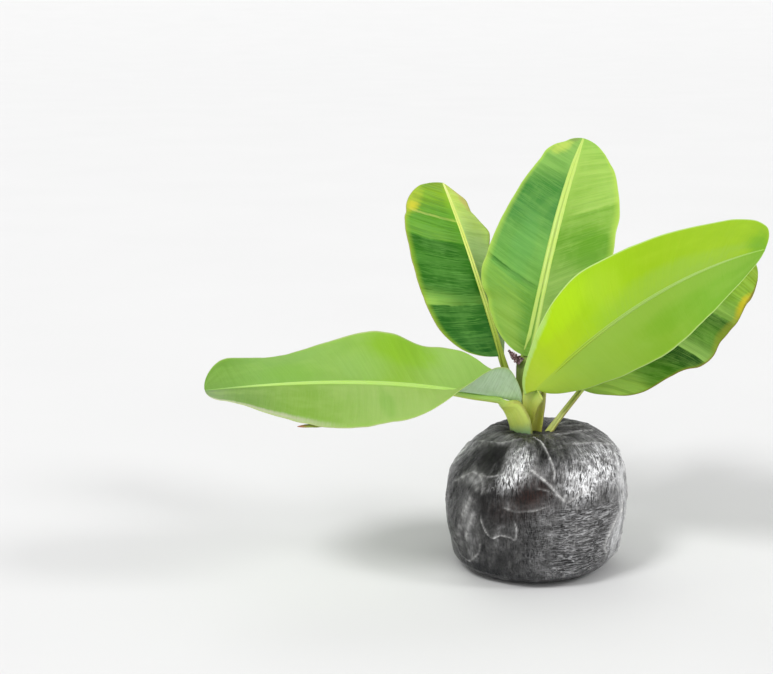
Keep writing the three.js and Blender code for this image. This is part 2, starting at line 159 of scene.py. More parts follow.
# Shapes: curves, blades as functions of place, and meshes from grids of points

RIB_STEPS = 800
EDGE_ROUGHNESS = 0.012  # how far a margin strays, as a share of the half's width
WAVE_ENDS = 0.12  # share of the blade's length over which its waves rise from nothing at each end
CORNER = 0.15  # share of the blade's length that the pulled back corner takes up
STEP_ASIDE = 0.004  # share of the blade's length and width at which a slope is taken
BAKE_EDGE = 0.01  # room left at the edges of a bake map


def smooth(x):
    c = np.clip(x, 0, 1)
    return c * c * (3 - 2 * c)


def along(values, t):
    """A value that changes along the leaf: two entries run straight, three make a quadratic curve."""
    if len(values) == 2:
        return values[0] + (values[1] - values[0]) * t
    return values[0] * (1 - t) ** 2 + 2 * values[1] * t * (1 - t) + values[2] * t * t


def direction(heading, rise):
    """Direction from angles in degrees, from +X and from level."""
    a, e = np.radians(heading), np.radians(rise)
    return np.stack([np.cos(e) * np.cos(a), np.cos(e) * np.sin(a), np.sin(e) * np.ones_like(a)], -1)


def ahead_on(leaf, t):
    return direction(along(leaf["heading"], t), along(leaf["rise"], t))


def unit(v):
    return v / np.maximum(np.linalg.norm(v, axis=-1, keepdims=True), 1e-12)


def turned_by(turn, side, normal):
    """Side and normal turned about the path that they stand on."""
    return side * np.cos(turn) + normal * np.sin(turn), normal * np.cos(turn) - side * np.sin(turn)


def grain(seed, span, step):
    """Smooth random function of a length in mm, between -1 and 1, with one random value a step."""
    values = np.random.default_rng(seed).uniform(-1, 1, int(span / step) + 4)

    def at(x):
        place = np.clip(np.asarray(x) / step + 1, 0, len(values) - 2.001)
        i = place.astype(int)
        return values[i] + (values[i + 1] - values[i]) * smooth(place - i)

    return at


def rib_of(leaf):
    t = (np.arange(RIB_STEPS) + 0.5) / RIB_STEPS
    steps = ahead_on(leaf, t) * leaf["length"] / RIB_STEPS
    return np.array(leaf["base"], float) + np.vstack([np.zeros(3), np.cumsum(steps, 0)])


def on_rib(leaf, t):
    at = np.clip(t, 0, 1) * RIB_STEPS
    i = np.minimum(at.astype(int), RIB_STEPS - 1)
    f = (at - i)[..., None]
    return leaf["points"][i] * (1 - f) + leaf["points"][i + 1] * f


def leaf_frame(leaf, t):
    """Side and normal of a leaf at t, turned about the rib by its roll."""
    a = np.radians(along(leaf["heading"], t))
    level = np.stack([np.sin(a), -np.cos(a), 0 * a], -1)
    square = np.cross(level, ahead_on(leaf, t))
    return turned_by(np.radians(along(leaf["roll"], t))[..., None], level, square)


def half_of(leaf, sign):
    return leaf["right"] if sign > 0 else leaf["left"]


def half_width(leaf, sign, t):
    half = half_of(leaf, sign)
    near = t < half["peak"]
    u = np.where(near, (half["peak"] - t) / half["peak"], (t - half["peak"]) / (1 - half["peak"]))
    end = np.where(near, half["heel"], half["toe"])
    w = half["width"] * np.sqrt(np.maximum(0, 1 - np.clip(u, 0, 1) ** end))
    w = w * (1 + EDGE_ROUGHNESS * leaf["edge"][sign](t * leaf["length"]))
    for at, reach, wider, _ in half.get("swells", ()):
        w = w + wider * np.exp(-(((t - at) / reach) ** 2))
    # never narrower than the rib
    return np.maximum(w, np.interp(t, *leaf["rib_half"]) * 1.02 + 0.2)


def on_leaf(leaf, sign, t, s):
    """Points of the upper face: sign is +1 for the right half and -1 for the left, s runs rib to margin."""
    half = half_of(leaf, sign)
    side, normal = leaf_frame(leaf, t)
    fold_base, fold_tip, opens = half["fold"]
    fold = np.radians(fold_tip + (fold_base - fold_tip) * (1 - smooth(t / opens)))
    bend = np.radians(along(half["curl"], t)) * s / 2
    reach = half_width(leaf, sign, t) * s * np.sinc(bend / np.pi)
    height, count, phase = half.get("wave", (0, 0, 0))
    ends = smooth(t / WAVE_ENDS) * smooth((1 - t) / WAVE_ENDS)
    lift = height * s * s * np.sin(2 * np.pi * (count * t + phase)) * ends
    for at, span, _, rise in half.get("swells", ()):
        lift = lift + rise * s ** 3 * np.exp(-(((t - at) / span) ** 2))
    across = sign * reach * np.cos(fold + bend)
    up = reach * np.sin(fold + bend) + lift
    points = on_rib(leaf, t) + side * across[..., None] + normal * up[..., None]
    if "back" in half:
        # the blade's base corner runs back along the petiole
        drop = half["back"] * s * np.maximum(0, 1 - t / CORNER) ** 2
        points = points - ahead_on(leaf, t) * drop[..., None]
    return points


def leaf_normal(leaf, sign, t, s):
    on, before = np.minimum(t + STEP_ASIDE, 1), np.maximum(t - STEP_ASIDE, 0)
    outer, inner = np.minimum(s + STEP_ASIDE, 1), np.maximum(s - STEP_ASIDE, 0)
    ahead = on_leaf(leaf, sign, on, s) - on_leaf(leaf, sign, before, s)
    out = on_leaf(leaf, sign, t, outer) - on_leaf(leaf, sign, t, inner)
    return unit(np.cross(out, ahead) * sign)


def link(thing):
    bpy.context.scene.collection.objects.link(thing)
    return thing


def object_of(name, vertices, faces, slots, material_of, numbers, corner_map):
    """One mesh object in metres. numbers holds a value for each vertex by name, and corner_map a place on
    the bake map for each corner of each face."""
    mesh = bpy.data.meshes.new(name)
    mesh.from_pydata((vertices * MM).tolist(), [], [list(map(int, f)) for f in faces])
    for material in slots:
        mesh.materials.append(material)
    mesh.polygons.foreach_set("material_index", np.asarray(material_of, np.int32))
    mesh.polygons.foreach_set("use_smooth", np.ones(len(mesh.polygons), bool))
    for key, values in numbers.items():
        layer = mesh.attributes.new(key, "FLOAT", "POINT")
        layer.data.foreach_set("value", values.astype(np.float32))
    layer = mesh.uv_layers.new(name="OFBake")
    layer.uv.foreach_set("vector", corner_map.astype(np.float32).ravel())
    mesh.update()
    return link(bpy.data.objects.new(name, mesh))


def grid_faces(rows, columns, first=0, closed=False, turned=False):
    """Quads between the points of a grid that runs row by row; closed joins the last column to the first."""
    i = np.arange(rows - 1)[:, None] * columns
    j = np.arange(columns if closed else columns - 1)[None, :]
    after = (j + 1) % columns
    quads = np.stack([i + j, i + after, i + columns + after, i + columns + j], -1).reshape(-1, 4) + first
    return quads[:, ::-1] if turned else quads


def tube(name, points, look, numbers, turned=True):
    """Closed piece from rings of points, with a fan over each end and a bake map opened along one side."""
    side_span, fan_middle, fan_radius, fan_levels = 0.93, 0.97, 0.02, (0.2, 0.6)
    rings, sides = points.shape[:2]
    vertices = np.vstack([points.reshape(-1, 3), points[0].mean(0), points[-1].mean(0)])
    quads = grid_faces(rings, sides, closed=True, turned=turned)
    k = np.arange(sides)
    after = (k + 1) % sides
    low, high = rings * sides, rings * sides + 1
    last = (rings - 1) * sides
    fans = np.vstack([
        np.stack([0 * k + low, k, after], -1), np.stack([0 * k + high, last + after, last + k], -1)])
    if not turned:
        fans = fans[:, ::-1]
    turn, ring = quads % sides, quads // sides
    wraps = (turn.max(1) - turn.min(1) > 1)[:, None]
    u = np.where(wraps & (turn == 0), sides, turn) / sides
    v = ring / (rings - 1)
    quad_map = np.stack([BAKE_EDGE + side_span * u, BAKE_EDGE + (1 - 2 * BAKE_EDGE) * v], -1)
    out = np.where(fans >= low, 0.0, fan_radius)
    swing = 2 * np.pi * (fans % sides) / sides
    level = np.repeat(fan_levels, sides)[:, None]
    fan_map = np.stack([fan_middle + out * np.cos(swing), level + out * np.sin(swing)], -1)
    values = {}
    for key, value in numbers.items():
        full = np.broadcast_to(value, (rings, sides))
        values[key] = np.append(full.ravel(), [full[0].mean(), full[-1].mean()])
    faces = quads.tolist() + fans.tolist()
    corner_map = np.vstack([quad_map.reshape(-1, 2), fan_map.reshape(-1, 2)])
    return object_of(name, vertices, faces, [look], np.zeros(len(faces)), values, corner_map)


# Blades

BLADE_ROWS, BLADE_COLUMNS = 330, 34
SWEEP = (7, 7)  # lean of the side veins in degrees, near the base and near the tip, where a leaf gives none
VEIN_BOW = 0.0014  # how far a side vein bows back, in mm for each square mm away from the rib
VEIN_START = 18  # keeps every vein's number positive, in mm
SPAN = 420  # length that the random functions of a leaf cover, in mm
PLEATS = [(1, 8.5, 0.5), (2, 4.1, 0.42), (3, 2.3, 0.2)]  # seed, spacing and height of the pleats in mm
PLEAT_START = 9  # how far from the rib the pleats reach their full height, in mm
EDGES = [(-1, 20, 16), (1, 21, 16), (0, 22, 9)]  # left and right margin and ripple, with seed and spacing
THICKNESS = 0.55  # of a blade beside its rib, in mm; the margin is half as thick
UPPER_MAP, LOWER_MAP = 0.01, 0.515  # where the two faces start across the bake map
FACE_SPAN = 0.475  # how much of the bake map one face takes up across


def vein_start(leaf, t, away):
    """Where along the rib the side vein through a point starts, in mm."""
    lean = np.interp(t, [0.2, 0.9], [math.tan(math.radians(v)) for v in leaf.get("sweep", SWEEP)])
    return t * leaf["length"] - lean * away - VEIN_BOW * away * away + VEIN_START


def half_grid(leaf, sign, t):
    """Upper points, lower points and numbers of one half of a blade, from the left to the right."""
    width = half_width(leaf, sign, t)
    inner = np.minimum(np.interp(t, *leaf["rib_half"]) * 0.72 / width, 0.9)
    s = inner + (1 - inner) * np.linspace(0, 1, BLADE_COLUMNS)[None, :] ** 1.05
    away = s * width
    t = t + 0 * s
    normal = leaf_normal(leaf, sign, t, s)
    vein = vein_start(leaf, t, away)
    # the pleats fade out towards the rib, the margin and both ends
    shade = smooth(away / PLEAT_START) * (1 - 0.55 * smooth((s - 0.8) / 0.2))
    shade = shade * smooth(t / 0.05) * smooth((1 - t) / 0.05)
    relief = sum(size * wave(vein) for wave, size in leaf["pleats"]) * leaf["pleat"] * shade
    ripple = leaf["edge"][0](t * leaf["length"] + 90 * (sign > 0)) * leaf["ripple"] * s ** 6
    lift = relief + ripple * smooth(t / 0.1) * smooth((1 - t) / 0.06)
    face = on_leaf(leaf, sign, t, s) + normal * lift[..., None]
    back = face - normal * (THICKNESS * (1 - 0.5 * s))[..., None]
    order = slice(None, None, sign)
    return [values[:, order] for values in (face, back, away, vein, t, sign * s)]


def blade(name, leaf, looks):
    u = np.linspace(0, 1, BLADE_ROWS)
    t = np.clip(0.72 * u + 0.28 * (1 - np.cos(np.pi * u)) / 2, 0.0, 0.9995)[:, None]
    halves = [half_grid(leaf, sign, t) for sign in (-1, 1)]
    upper, lower, *numbers = (np.concatenate(pair, 1) for pair in zip(*halves))
    rows, columns = upper.shape[:2]
    count = rows * columns
    faces = [grid_faces(rows, columns), grid_faces(rows, columns, count, turned=True)]
    # the rim joins the two faces all round
    i, j = np.arange(rows - 1) * columns, np.arange(columns - 1)
    last, top = columns - 1, (rows - 1) * columns
    rims = [
        np.stack([i, i + columns, count + i + columns, count + i], -1),
        np.stack([i + last, count + i + last, count + i + columns + last, i + columns + last], -1),
        np.stack([j, count + j, count + j + 1, j + 1], -1),
        np.stack([top + j, top + j + 1, count + top + j + 1, count + top + j], -1)]
    material_of = np.repeat([0, 1, 0], [len(faces[0]), len(faces[1]), sum(map(len, rims))])
    x = FACE_SPAN * np.linspace(0, 1, columns)[None, :] + np.zeros((rows, 1))
    y = BAKE_EDGE + (1 - 2 * BAKE_EDGE) * u[:, None] + 0 * x
    maps = [np.stack([x + start, y], -1).reshape(-1, 2) for start in (UPPER_MAP, LOWER_MAP)]
    faces = np.concatenate(faces + rims)
    both = {key: np.tile(v.ravel(), 2) for key, v in zip(("away", "vein", "along", "across"), numbers)}
    vertices = np.concatenate([upper.reshape(-1, 3), lower.reshape(-1, 3)])
    return object_of(name, vertices, faces, looks, material_of, both, np.concatenate(maps)[faces])


# Stalks: each is a petiole and its midrib in one sweep

STALK_SIDES = 40
FOOT_STEPS, RIB_ROWS = 90, 250  # rings of the petiole and of the midrib
RIB_END = 0.997  # where the midrib ends along the blade
RIDGE = 0.13  # height of the fine lengthwise ridges in mm
FOOT_HEIGHT = 108
LEVEL = [(-1, 0), (1, 0)]  # a value by run that stays nought

# foot, lean, top, broad side, half widths and depth of the two older sheaths
OLD_SHEATHS = [
    ((-1.8, 2, FOOT_HEIGHT), (0.02, 0, 1), (3.4, 6, 148), (0.9, -0.35, 0),
     [(-1, 5.2), (-0.3, 4.4), (0, 3.2), (0.01, 3)], 4.6),
    ((-7, 3, FOOT_HEIGHT), (0, 0, 1), (-8.5, 5, 131), (0.95, 0.3, 0),
     [(-1, 9), (-0.3, 8), (0, 5), (0.01, 5)], 6.5)]


def by_run(pairs, run):
    """Value at each place of a stalk from (run, value) pairs, with its corners eased."""
    pairs = np.array(pairs, float)
    fine = np.linspace(-1.3, 1.3, 1301)
    values = np.interp(fine, pairs[:, 0], pairs[:, 1])
    window = np.hanning(61)
    eased = np.convolve(np.pad(values, 30, mode="edge"), window / window.sum(), mode="valid")
    return np.interp(run, fine, eased)


def hermite(start, leave, end, arrive, u):
    """Places and directions on a cubic curve that leaves the start and arrives at the end as given."""
    u = u[:, None]
    place = (
        start * (2 * u ** 3 - 3 * u ** 2 + 1) + leave * (u ** 3 - 2 * u ** 2 + u)
        + end * (3 * u ** 2 - 2 * u ** 3) + arrive * (u ** 3 - u ** 2))
    ahead = unit(
        start * (6 * u ** 2 - 6 * u) + leave * (3 * u ** 2 - 4 * u + 1)
        + end * (6 * u - 6 * u ** 2) + arrive * (3 * u ** 2 - 2 * u))
    return place, ahead


def section(half, deep, groove, lip, open_to, sides):
    """Across and up values round a stalk: two lips beside a channel above, a rounded keel below."""
    angle = 2 * np.pi * np.arange(sides) / sides
    c, s = np.cos(angle)[None, :], np.sin(angle)[None, :]
    x = np.abs(c)
    half, deep, groove, lip, open_to = (np.asarray(v)[:, None] for v in (half, deep, groove, lip, open_to))
    crown = lip * (1 - x ** 5)
    channel = groove * np.maximum(0, 1 - (x / open_to) ** 2) ** 1.3
    rim = -0.12 * deep
    top = crown - channel + rim * smooth((x - 0.82) / 0.18)
    bottom = rim - (deep + rim) * np.abs(s) ** 0.85
    y = np.where(s > 1e-9, top, np.where(s < -1e-9, bottom, rim))
    return half * c, y, c, s


def carried(side, ahead):
    """Side and normal vectors that follow a path without twisting about it."""
    sides = []
    for step in ahead:
        side = unit(side - step * (side @ step))
        sides.append(side)
    sides = np.array(sides)
    return sides, np.cross(sides, ahead)


def sweep_stalk(name, centre, side, normal, run, spec, look, seed):
    half, deep, groove = (by_run(spec[key], run) for key in ("half", "deep", "groove"))
    lip = np.interp(run, [-1, 0, 0.08, 0.4, 0.7, 1], [0.5, 0.9, 1.6, 1.3, 0.9, 0.35]) * spec.get("proud", 1)
    open_to = np.interp(run, [-1, -0.1, 0.08, 0.6, 1], [0.86, 0.86, 0.34, 0.22, 0.16])
    x, y, c, s = section(half, deep, groove, lip, open_to, STALK_SIDES)
    x = x + by_run(spec.get("shift", LEVEL), run)[:, None]
    y = y - by_run(spec.get("sink", LEVEL), run)[:, None]
    # the ridges are strongest on the petiole and on the keel
    ridges = grain(seed, 60, 0.9)(20 + 20 * c) * np.minimum(1, np.abs(s) * 3)
    swell = RIDGE * np.interp(run, [-1, 0, 0.4, 1], [1, 1, 0.3, 0])[:, None] * ridges
    y = y + np.where(s < 0, -swell, swell * 0.5)
    points = centre[:, None] + side[:, None] * x[..., None] + normal[:, None] * y[..., None]
    away = np.concatenate([[0], np.cumsum(np.linalg.norm(np.diff(centre, axis=0), axis=1))])
    return tube(name, points, look, {"run": run[:, None], "away": away[:, None], "around": c, "above": s})


def stalk(name, leaf, spec, look):
    """A channelled stalk from its foot in the stem to the tip of the blade."""
    join = spec["join"]
    start, end = np.array(spec["foot"], float), on_rib(leaf, np.array([join]))[0]
    span = np.linalg.norm(end - start)
    leave = unit(np.array(spec["lean"], float)) * span * spec["pull"][0]
    arrive = ahead_on(leaf, join) * span * spec["pull"][1]
    u = np.linspace(0, 1, FOOT_STEPS)[:-1]
    centre, ahead = hermite(start, leave, end, arrive, u)
    side, normal = carried(np.array(spec["side"], float), ahead)
    # twist the carried frame into the blade's own
    level = leaf_frame(leaf, np.array([join]))[0][0]
    twist = math.atan2(level @ normal[-1], level @ side[-1])
    start_turn, end_turn = spec.get("twist", (0, 1))
    turn = (twist * smooth((u - start_turn) / (end_turn - start_turn)))[:, None]
    side, normal = turned_by(turn, side, normal)
    t = np.linspace(join, RIB_END, RIB_ROWS)
    rib_side, rib_normal = leaf_frame(leaf, t)
    run = np.concatenate([-1 + u * (1 + join), t])
    return sweep_stalk(
        name, np.vstack([centre, on_rib(leaf, t)]), np.vstack([side, rib_side]),
        np.vstack([normal, rib_normal]), run, spec, look, leaf["seed"] + 9)


def old_sheaths(look):
    """Two older leaf sheaths that wrap the foot of the stem between the stalks."""
    for number, (foot, lean, top, face, half, deep) in enumerate(OLD_SHEATHS):
        u = np.linspace(0, 1, 70)
        start, end = np.array(foot, float), np.array(top, float)
        leave = unit(np.array(lean, float)) * np.linalg.norm(end - start)
        centre, ahead = hermite(start, leave, end, end - start, u)
        side, normal = carried(np.array(face, float), ahead)
        deeps = [(-1, deep), (0, deep * 0.6), (0.01, 0.8)]
        spec = dict(half=half, deep=deeps, groove=[(-1, 2.4), (0, 1.6), (0.01, 0.4)])
        yield sweep_stalk("old_sheath_%d" % number, centre, side, normal, u - 1, spec, look, 400 + number)


# Small dry pieces

FLAKE_RINGS, FLAKE_SIDES = 60, 24


def flake(name, centre, flat, across, turn, half, thin, crumple, look):
    """Closed flake with lens-shaped sections, a little crumpled; turn is how its broad side, half wide each
    way, leans from flat towards across."""
    turn = turn[:, None]
    wide = (flat * np.cos(turn) + across * np.sin(turn)) * half[:, None]
    through = (across * np.cos(turn) - flat * np.sin(turn)) * thin
    angle = -2 * np.pi * np.arange(FLAKE_SIDES) / FLAKE_SIDES
    bump = np.random.default_rng(3).uniform(-1, 1, (FLAKE_RINGS, FLAKE_SIDES))
    bump = (bump + np.roll(bump, 1, 1) + np.roll(bump, 1, 0)) / 3
    points = (
        centre[:, None] + wide[:, None] * np.cos(angle)[None, :, None]
        + through[:, None] * (np.sin(angle)[None, :] + crumple * bump)[..., None])
    return tube(name, points, look, {"run": np.linspace(0, 1, FLAKE_RINGS)[:, None]}, turned=False)


def torn_strip(leaf, look):
    """A strip of the margin that hangs under the leaf."""
    u = np.linspace(0, 1, FLAKE_RINGS)
    t = (STRIP["start"] + (STRIP["end"] - STRIP["start"]) * u)[:, None]
    normal = leaf_normal(leaf, -1, t, 0.95 + 0 * t)[:, 0]
    centre = on_leaf(leaf, -1, t, 0.965 + 0 * t)[:, 0] - normal * 0.9
    centre[:, 2] -= STRIP["drop"] * u ** 1.4
    half = STRIP["width"] / 2 * np.interp(u, [0, 0.3, 0.7, 0.92, 1], [0.45, 1, 0.85, 0.4, 0.08])
    ahead = unit(np.gradient(centre, axis=0))
    up = np.array([0.0, 0.0, 1.0])
    hang = unit(up - (ahead @ up)[:, None] * ahead)
    turn = 0.25 + 0.5 * np.sin(3.0 * u)
    return flake("torn_strip", centre, hang, np.cross(ahead, hang), turn, half, 0.45, 0.35, look)


def sheath_shred(look):
    """A withered shred of sheath beside the stem."""
    start, end = np.array(SHRED["start"]), np.array(SHRED["end"])
    ahead = unit(end - start)
    across = unit(np.array([0, 1.0, 0]) - ahead * ahead[1])
    u = np.linspace(0, 1, FLAKE_RINGS)
    centre = start + (end - start) * u[:, None]
    centre[:, 2] -= SHRED["sag"] * np.sin(np.pi * u)
    rough = grain(77, 60, 2.0)
    half = SHRED["width"] / 2 * (1 - 0.7 * u ** 2) * (1 + 0.22 * rough(u * 50))
    turn = 0.5 * u + 0.4 * rough(u * 25 + 5)
    return flake("sheath_shred_dry", centre, np.cross(ahead, across), across, turn, half, 0.6, 1.1, look)


# Wrapped root ball. Places on it are (degrees round it from +X, run in mm up its side and over its top).

BALL_ROWS, BALL_COLUMNS = 205, 470
RUN_START = -6  # run at the edge of the underside
EASED = 0.65  # share of a smooth curve in the outline of the bag, the rest being straight between its points
TOP_PLEATS = 45
GATHER_START = 122  # run at which the pleats on top start
SHOULDER = 96  # run at the bag's shoulder
LEVEL_FROM, LEVEL_TO = 8, 82  # runs between which the crinkles can lie level
SKIN_RADIUS = 70  # radius in mm of the round on which the crinkles are drawn
PULL_REACH = 30  # how far above and below the shoulder the crinkles lean, in mm
HIGHEST, LOWEST = 2.6, -2.8  # how far the film may stand out of the bag and sink into it

# Long folds: path, height, half width, step of a second layer on one side, whiteness and its blur. Those
# that the front shows come first, then those of the sides and the back.
FOLDS = [
    ([(258, 147), (266, 141), (273, 136), (277, 124), (280, 112), (281, 104), (280, 96)],
     1.7, 1.1, -0.6, 1.0, 1.1),
    ([(262, 108), (268, 103), (276, 95.5), (282, 87), (288, 79)], 1.1, 1.0, 0.6, 0.9, 1.0),
    ([(287, 79), (291, 81), (295, 85), (303, 88), (309, 86)], 0.8, 0.9, 0.3, 0.6, 1.4),
    ([(295, 88), (295, 75), (294, 58), (293, 40)], 0.6, 0.7, 0, 0.4, 0.8),
    ([(197, 79), (209, 89), (219, 97), (227, 96), (232, 90), (233, 80)], 1.1, 1.0, 0.5, 0.5, 1.2),
    ([(234, 68), (235, 60), (239, 51), (242, 48), (247, 52), (253, 51), (256, 48), (257, 58), (254, 68)],
     0.8, 0.8, 0.4, 0.7, 0.8),
    ([(221, 38), (223, 47), (226, 57), (231, 70)], 0.9, 2.2, 0, 0.5, 2.4),
    ([(204, 50), (206, 36), (211, 24), (221, 20), (231, 32), (234, 46)], 0.7, 1.0, 0.3, 0.4, 1.0),
    ([(182, 110), (206, 122), (230, 125.5), (240, 133), (252, 140)], 1.3, 1.3, 0.7, 0.45, 1.3),
    ([(304, 131), (312, 128.5), (330, 125), (351, 113), (364, 102)], 1.3, 1.1, 0.8, 0.5, 1.0),
    ([(296, 152), (320, 147), (345, 139), (372, 128)], 0.9, 1.4, 0.5, 0.35, 1.2),
    ([(226, 98), (232, 96), (238, 98), (247, 102)], 0.8, 0.9, 0, 0.5, 0.9),
    ([(193, 104), (203, 117), (220, 124), (240, 127)], 0.6, 3.0, 0.3, 0.25, 4.0),
    ([(204, 82), (214, 92), (224, 92), (230, 82)], 0.5, 2.6, 0.3, 0.22, 4.5),
    ([(214, 30), (216, 50), (222, 66), (226, 84)], 0.7, 2.6, 0.3, 0.28, 5.0),
    ([(333, 98), (341, 80), (337, 64), (328, 58), (323, 46), (321, 34), (328, 21)], 1.5, 1.3, 0.9, 0.8, 1.2),
    ([(348, 104), (351, 78), (347, 51), (344, 30), (337, 17)], 1.8, 1.7, 0.6, 0.7, 1.6),
    ([(331, 88), (335, 66), (333, 46), (337, 26)], 0.8, 1.2, 0.3, 0.6, 1.3),
    ([(268, 92), (276, 90), (284, 84)], 0.5, 0.8, 0, 0.35, 0.9),
    ([(246, 76), (256, 72), (268, 74), (280, 80)], 0.6, 0.9, 0.4, 0.35, 1.0),
    ([(20, 40), (45, 58), (80, 66), (115, 84), (150, 96)], 1.1, 1.1, 0.7, 0.6, 1.1),
    ([(60, 122), (95, 108), (140, 112), (178, 100)], 1.2, 1.2, -0.6, 0.6, 1.1),
    ([(10, 88), (34, 108), (70, 136)], 1.1, 1.1, 0.6, 0.7, 1.0),
    ([(96, 22), (128, 42), (165, 34), (195, 44)], 0.9, 1.1, 0.5, 0.5, 1.1),
    ([(48, 20), (62, 44), (58, 72), (70, 92)], 1.2, 1.4, 0.6, 0.6, 1.5),
    ([(128, 128), (134, 104), (129, 84), (138, 60)], 1.4, 1.1, -0.6, 0.8, 1.0),
    ([(165, 62), (172, 50), (181, 56), (186, 70)], 0.8, 0.9, 0.4, 0.6, 0.9),
    ([(84, 44), (88, 34), (98, 32), (104, 44), (102, 58)], 0.8, 0.8, 0.4, 0.7, 0.8)]

# Soft patches: (strength, degrees, run, wide in degrees, tall in mm)
DENTS = [
    (1.8, 228, 114, 6, 6), (1.4, 239, 105, 4.5, 4), (1.9, 290, 128, 9, 9), (1.2, 264, 88, 12, 9),
    (1.3, 208, 100, 6, 10), (1.5, 60, 110, 14, 10), (1.4, 150, 118, 12, 9)]
SOIL = [(1.3, 266, 87, 12, 12), (0.5, 252, 72, 12, 9)]
MILKY = [
    (0.42, 225, 52, 7, 20), (0.12, 210, 34, 9, 14), (0.15, 243, 40, 12, 12), (0.3, 222, 94, 10, 8),
    (1.3, 334, 40, 10, 20), (1.2, 344, 62, 11, 32), (0.7, 340, 92, 9, 20), (0.3, 206, 116, 22, 4),
    (0.3, 215, 90, 14, 4), (0.6, 222, 134, 26, 8), (0.3, 330, 134, 22, 7), (0.25, 300, 48, 24, 20),
    (0.6, 30, 60, 20, 40), (0.5, 75, 96, 24, 18), (0.45, 120, 52, 24, 22), (0.5, 165, 90, 16, 26),
    (0.3, 180, 130, 30, 10)]
# painted shade in the hollows of the film and round the foot of the stalks
PAINTED_SHADE = [
    (1, 228, 114, 7, 7), (0.9, 239, 105, 5, 5), (1.2, 290, 125, 8, 15), (0.6, 271, 116, 5, 11),
    (0.8, 205, 98, 8, 12), (0.4, 199, 60, 6, 14), (0.95, 296, 147, 11, 13), (0.4, 338, 146, 12, 7),
    (0.85, 211, 70, 9, 12), (0.8, 208, 34, 9, 14), (0.35, 263, 26, 12, 8), (0.5, 200, 80, 12, 34),
    (0.7, 316, 140, 16, 6), (0.6, 266, 152, 9, 6), (0.5, 214, 74, 9, 7), (0.5, 199, 30, 7, 16),
    (0.45, 250, 30, 10, 14), (0.6, 60, 112, 12, 9), (0.5, 150, 118, 10, 8), (0.4, 100, 120, 10, 8)]
# painted highlights: where the crinkles are painted with white glints
GLINT = [
    (1.2, 255, 113, 8, 12), (0.8, 250, 98, 7, 9), (1, 324, 104, 26, 17), (1, 298, 92, 10, 11),
    (0.7, 10, 96, 22, 24), (0.5, 110, 100, 40, 18), (0.5, 175, 104, 20, 18), (0.45, 60, 60, 20, 16)]
LEVEL_CRINKLES = [(1.3, 305, 45, 34, 400), (0.8, 60, 45, 60, 400), (0.7, 130, 45, 40, 400)]
# how far the crinkles lean with the pull of the film round the bag's shoulder: (degrees, lean)
PULL = [
    (0, 0.12), (60, -0.1), (120, 0.1), (195, 0.4), (225, 0.25), (245, -0.1), (270, -0.05), (290, 0.25),
    (350, 0.2), (360, 0.12)]


def lump(angle, z):
    """Low lumps of a filled bag, as in its solid."""
    up = z / BALL_HEIGHT * math.pi
    waves = (
        1.1 * np.cos(3 * angle + 0.8) * np.sin(up)
        + 0.9 * np.cos(5 * angle - 1.1 + 1.4 * np.cos(up)) * np.sin(up)
        + 0.6 * np.cos(8 * angle + 3 * up))
    return waves * smooth(z / 12)


def ball_path():
    """Evenly spaced stations up the bag's side and over its top: run, height, radius, lean."""
    profile = BALL_PROFILE
    step = np.hypot(np.diff(profile[:, 0]), np.diff(profile[:, 1]))
    at = np.concatenate([[0], np.cumsum(step)]) + RUN_START
    run = np.linspace(at[0], at[-1], BALL_ROWS)
    i = np.clip(np.searchsorted(at, run, side="right") - 1, 0, len(at) - 2)
    gap = (at[i + 1] - at[i])[:, None]
    slope = np.gradient(profile, at, axis=0)
    share = (run - at[i]) / gap[:, 0]
    eased, _ = hermite(profile[i], gap * slope[i], profile[i + 1], gap * slope[i + 1], share)
    straight = np.stack([np.interp(run, at, values) for values in profile.T], -1)
    return run, *(EASED * eased + (1 - EASED) * straight).T


def turned_from(angle, degrees):
    """Angle from a place on the bag, in degrees between -180 and 180."""
    return (np.degrees(angle) - degrees + 180) % 360 - 180


